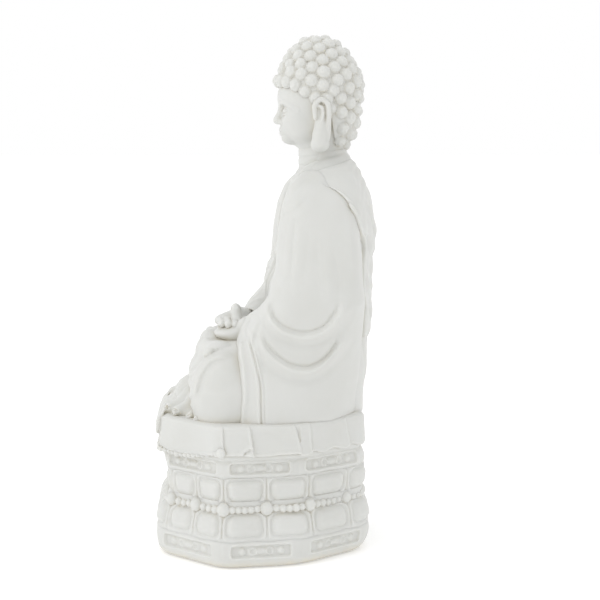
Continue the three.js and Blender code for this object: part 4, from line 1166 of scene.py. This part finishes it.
def head():
    c = Clay((-30, 4, 214), (30, 62, 292), FINE)
    c.ball((0, 35, 266.5), (20.6, 22.8, 22.8))
    c.ball((0, 30.5, 253.6), (17.2, 17.4, 18.0), 6)
    c.ball((0, 25.5, 262), (17.5, 14.2, 11), 5)
    c.ball((0, 26, 243.4), (12.6, 13.0, 9.0), 5)
    for s in (1, -1):
        c.ball((s * 8.6, 20.6, 248.8), (6.6, 6.0, 6.6), 5)
        c.ball((s * 11, 28, 242.4), (5.4, 9, 6), 5)
    c.ball((0, 18.6, 243.0), (6.4, 6.3, 4.6), 3)
    c.ball((0, 17.4, 238.7), (4.9, 4.3, 3.5), 3.5)
    # The skull's back, under the hair, down to the nape.
    c.ball((0, 38.5, 250), (17.2, 16.6, 17), 4)
    # Neck with its three soft rings.
    c.tube([(0, 37, 214), (0, 36.8, 226), (0, 35.6, 243)], [14.6, 13.4, 13.0], 4.5, inner=3)
    c.swell(lambda X, Y, Z: -0.4 * (bell(Z - (232.2 + (Y - 22) * 0.12), 0.7) + bell(Z - (227.4 + (Y - 22) * 0.10), 0.7) + bell(Z - (222.6 + (Y - 22) * 0.08), 0.7)) * step(44, 34, Y), ((-20, 15, 216), (20, 46, 236)))
    # Face by even thirds: brow, foot of the nose, chin.
    BR, NB, MO, EY = 257.6, 246.9, 242.4, 254.4
    for s in (1, -1):
        c.ball((s * 7.1, 11.4, EY + 0.1), (5.0, 3.6, 2.9), 3.2, sub=True)
        c.tube(smooth_line([(s * 2.0, 12.6, BR - 1.2), (s * 5.2, 12.2, BR + 0.9), (s * 9.6, 13.6, BR + 1.3), (s * 13.6, 17.4, BR - 0.4), (s * 15.8, 21.6, BR - 3.2)], 4), 0.72, 1.6)
        # Lid over the eyeball, lowered, and the line it makes.
        c.ball((s * 7.1, 16.9, EY - 0.2), (4.5, 3.5, 2.75), 0.5, turn=rot("Z", s * 12))
        lid = smooth_line([(s * 2.9, 14.3, EY - 1.0), (s * 5.0, 13.45, EY - 1.75), (s * 7.4, 13.3, EY - 2.0), (s * 9.8, 14.0, EY - 1.6), (s * 11.6, 15.5, EY - 0.6)], 5)
        c.tube(lid, 0.45, 0.3, sub=True)
        c.tube(lid + np.array([0, 0.05, -0.75]), 0.36, 0.5)
        c.tube(smooth_line([(s * 2.9, 14.4, EY + 0.8), (s * 5.4, 13.7, EY + 1.9), (s * 8.2, 13.9, EY + 2.1), (s * 11.2, 15.8, EY + 0.9)], 5), 0.3, 0.35, sub=True)
        c.ball((s * 2.4, 13.2, NB + 1.0), (1.85, 2.3, 1.6), 1.4)
        c.ball((s * 1.4, 11.6, NB - 0.75), (0.6, 0.8, 0.5), 0.5, sub=True)
    c.tube([(0, 13.6, BR - 0.6), (0, 12.1, BR - 4.4), (0, 10.1, NB + 2.4)], [1.7, 1.8, 2.2], 2.2, inner=1)
    c.ball((0, 10.7, NB + 1.7), (2.4, 2.1, 1.9), 1.4)
    # Lips, closed and level with slightly lifted corners.
    up = smooth_line([(-4.5, 14.6, MO + 0.6), (-3.0, 13.2, MO + 0.75), (-1.2, 12.5, MO + 1.1), (0, 12.45, MO + 0.85), (1.2, 12.5, MO + 1.1), (3.0, 13.2, MO + 0.75), (4.5, 14.6, MO + 0.6)], 4)
    c.tube(up, 1.0, 1.1)
    lo = smooth_line([(-3.6, 14.2, MO - 0.5), (-1.9, 13.0, MO - 0.95), (0, 12.7, MO - 1.1), (1.9, 13.0, MO - 0.95), (3.6, 14.2, MO - 0.5)], 4)
    c.tube(lo, 1.15, 1.1)
    mouth = smooth_line([(-5.0, 14.5, MO + 0.5), (-2.8, 12.75, MO + 0.1), (0, 11.75, MO - 0.05), (2.8, 12.75, MO + 0.1), (5.0, 14.5, MO + 0.5)], 4)
    c.tube(mouth, 0.38, 0.4, sub=True)
    c.swell(lambda X, Y, Z: -0.3 * bell(X, 0.8) * step(MO + 1.6, MO + 2.4, Z) * step(NB + 0.2, NB - 0.6, Z) - 0.45 * bell(Z - (MO - 3.1), 0.9) * step(4.5, 2.0, np.abs(X)), ((-5, 8, 237), (5, 16, 249)))

    # Ears: long lobes.
    for s in (1, -1):
        c.ball((s * 20.2, 35.2, 252.4), (3.0, 4.3, 8.8), 1.2, turn=rot("Z", s * -10))
        c.tube([(s * 20.8, 34.9, 246), (s * 21.8, 34.4, 240), (s * 22.2, 34.0, 235.6)], [4.0, 4.7, 5.0], 1.6, inner=1)
        c.ball((s * 22.4, 34.0, 234.8), (2.8, 5.3, 4.4), 1.0)
        c.ball((s * 25.5, 34.4, 253.6), (2.5, 1.9, 4.2), 1.4, sub=True)
        c.tube(smooth_line([(s * 21.8, 31.2, 252.4), (s * 22.8, 31.0, 257.4), (s * 23.6, 34.6, 260.4), (s * 23.6, 38.2, 257.8), (s * 23.6, 38.9, 251.5), (s * 23.4, 38.6, 244), (s * 23.6, 38.2, 238)], 4),
               [1.45] * 19 + [1.5] * 6, 0.8, inner=0.5)
        c.tube(smooth_line([(s * 22.8, 33.0, 256.8), (s * 23.6, 35.2, 255.4), (s * 23.8, 35.3, 250), (s * 23.6, 33.9, 244), (s * 23.4, 32.2, 239)], 4), 1.05, 0.7)
        c.ball((s * 22.2, 31.2, 250.6), (1.5, 1.3, 2.2), 0.8)
    cast("cast_head", c, ["head"], 0.5)


def hair():
    c = Clay((-30, 2, 226), (30, 66, 301), FINE)

    def dome(X, Y, Z):
        d = smin(ell(X, Y, Z, (0, 34.7, 268.6), (22.0, 24.2, 20.2)), ell(X, Y, Z, (0, 34.2, 280.4), (14.8, 17.4, 15.2)), 5)
        return smin(d, ell(X, Y, Z, (0, 38.2, 253.5), (19.6, 19.2, 24.0)), 5)

    c.add(dome)

    # What is hair: above the forehead, down to the temples, over the ears, and behind them to the nape.
    ys = [0, 10, 16, 22, 25.6, 29, 30.6, 31.8, 35, 39, 41, 42.5, 45, 48.5, 50.5, 60]
    zs = [270.2, 269.8, 268.6, 266.0, 262.4, 258.6, 256.2, 258.8, 259.8, 256.8, 248, 239.4, 235.6, 233.2, 231.8, 231.4]
    line = lambda y: np.interp(y, ys, zs)
    X, Y, Z = c.whole()
    c.d = smax(c.d, line(Y).astype(f32) - Z, 1.2).astype(f32)
    inner = ell(X, Y, Z, (0, 35, 264), (18, 20, 20))
    c.d = np.maximum(c.d, -inner).astype(f32)

    # Curls packed evenly over the dome: scattered, then pushed apart until they settle.
    rng = np.random.RandomState(3)

    def slope(p, e=0.2):
        g = np.stack([dome(*(p + e * np.eye(3)[i]).T) - dome(*(p - e * np.eye(3)[i]).T) for i in range(3)], 1) / (2 * e)
        return g / np.linalg.norm(g, axis=1)[:, None]

    def settle(p):
        for _ in range(4):
            p = p - slope(p) * dome(*p.T)[:, None]
        low = line(p[:, 1]) + 2.3 - p[:, 2]
        p = p.copy()
        p[:, 2] += np.maximum(low, 0)
        return p - slope(p) * dome(*p.T)[:, None]

    u = rng.randn(9000, 3)
    u /= np.linalg.norm(u, axis=1)[:, None]
    cand = settle(np.array([0, 36.0, 262.0]) + u * 24)
    cand = cand[cand[:, 2] > line(cand[:, 1]) + 2.4]
    pts = cand[:1]
    for p in cand[1:]:
        if ((pts - p) ** 2).sum(1).min() > 5.95**2:
            pts = np.vstack([pts, p])
    for it in range(140):
        dv = pts[:, None] - pts[None]
        ds = np.linalg.norm(dv, axis=2) + np.eye(len(pts)) * 99
        push = (dv / ds[..., None] * np.clip(8.3 - ds, 0, None)[..., None]).sum(1)
        pts = settle(pts + push * 0.16)
    keep = list(pts)
    dn = np.linalg.norm(pts[:, None] - pts[None], axis=2) + np.eye(len(pts)) * 99
    print("curls", len(keep), "nearest", dn.min(1).mean(), dn.min())
    for p in keep:
        e = 0.2
        nrm = np.array([dome(*(p + d * e)) - dome(*(p - d * e)) for d in np.eye(3)])
        nrm /= np.linalg.norm(nrm)
        r = 3.95 * (1 + 0.025 * rng.randn())
        q = p - nrm * 0.5 + rng.randn(3) * 0.1
        a = np.cross(nrm, [0, 0, 1.0])
        if np.linalg.norm(a) < 0.2:
            a = np.array([1.0, 0, 0])
        a /= np.linalg.norm(a)
        b = np.cross(nrm, a)
        spin = 1 if p[0] >= 0 else -1

        def knob(X, Y, Z, q=q, a=a, b=b, nrm=nrm, r=r, spin=spin):
            x, y, z = X - q[0], Y - q[1], Z - q[2]
            n_ = x * nrm[0] + y * nrm[1] + z * nrm[2]
            u_ = x * a[0] + y * a[1] + z * a[2]
            v_ = x * b[0] + y * b[1] + z * b[2]
            rho = np.hypot(u_, v_)
            d = np.sqrt(u_ * u_ + v_ * v_ + (n_ * 1.04) ** 2) - r
            # Snail turn: one spiral groove winding to the middle.
            ph = spin * np.arctan2(v_, u_) + rho * (2 * math.pi / 2.0)
            return d + 0.15 * (1 - np.cos(ph)) * step(0.25, 0.9, rho) * step(r + 0.2, r - 0.9, rho) * (n_ > 0)

        c.add(knob, 0.4, (q - r, q + r))
    cast("cast_hair", c, ["hair_cap"], 0.6)

    u = Clay((-3, 8, 259), (3, 16, 267), 0.25)
    u.ball((0, 13.1, 262.8), (1.75, 1.6, 1.75))
    cast("cast_urna", u, ["urna"], 0.5)


throne()
beads()
torso()
sleeve(1)
sleeve(-1)
drape()
legs()
fan()
hand(1)
hand(-1)
head()
hair()

# ------------------------------------------------------------------ carried-over CAD nodes
board, steel = board_material(), steel_material()
for n, m in (("closing_plate", board), ("neck_pin", steel), ("seat_pin_left", steel), ("seat_pin_right", steel)):
    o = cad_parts[n]
    o.data.materials.clear()
    o.data.materials.append(m)

# ------------------------------------------------------------------ floor, light, camera
fm, ft = nodes_of("pale_floor")
fo = ft.nodes.new("ShaderNodeOutputMaterial")
fp = ft.nodes.new("ShaderNodeBsdfPrincipled")
fp.inputs["Base Color"].default_value = (0.90, 0.90, 0.90, 1)
fp.inputs["Emission Color"].default_value = (1, 1, 1, 1)
fp.inputs["Emission Strength"].default_value = 0.22
fp.inputs["Roughness"].default_value = 0.9
fp.inputs["Specular IOR Level"].default_value = 0.1
link(ft, fp.outputs[0], fo.inputs[0])
fme = bpy.data.meshes.new("floor")
fme.from_pydata([(-40, -40, 0), (40, -40, 0), (40, 40, 0), (-40, 40, 0)], [], [(0, 1, 2, 3)])
floor = bpy.data.objects.new("floor", fme)
bpy.context.scene.collection.objects.link(floor)
fme.materials.append(fm)

world = bpy.data.worlds.new("studio")
bpy.context.scene.world = world
world.use_nodes = True
bg = world.node_tree.nodes["Background"]
bg.inputs[0].default_value = (1, 1, 1, 1)
bg.inputs[1].default_value = 1.0


def area(name, at, size, power, target=(0, 0, 0.15)):
    l = bpy.data.lights.new(name, "AREA")
    l.shape = "RECTANGLE"
    l.size, l.size_y = size
    l.energy = power
    o = bpy.data.objects.new(name, l)
    bpy.context.scene.collection.objects.link(o)
    o.location = at
    o.rotation_euler = (Vector(target) - Vector(at)).to_track_quat("-Z", "Y").to_euler()
    return o


area("key", (0.70, -1.15, 1.10), (0.7, 0.7), 4.0)
area("top", (0.3, -0.2, 1.7), (0.9, 0.9), 0.8)

cam_data = bpy.data.cameras.new("camera")
cam_data.sensor_width = 36
cam_data.lens = 87
cam = bpy.data.objects.new("camera", cam_data)
bpy.context.scene.collection.objects.link(cam)
eye = Vector((0.85706, -0.02128 + SHIFT * 0.001, 0.2330))
th, pit = math.radians(3.0), math.radians(6.0)
c_ = Vector((math.cos(th), -math.sin(th), 0))
cam.location = eye
cam.rotation_euler = (-c_ * math.cos(pit) - Vector((0, 0, 1)) * math.sin(pit)).to_track_quat("-Z", "Y").to_euler()
bpy.context.scene.camera = cam
bpy.context.scene.view_settings.view_transform = "Standard"
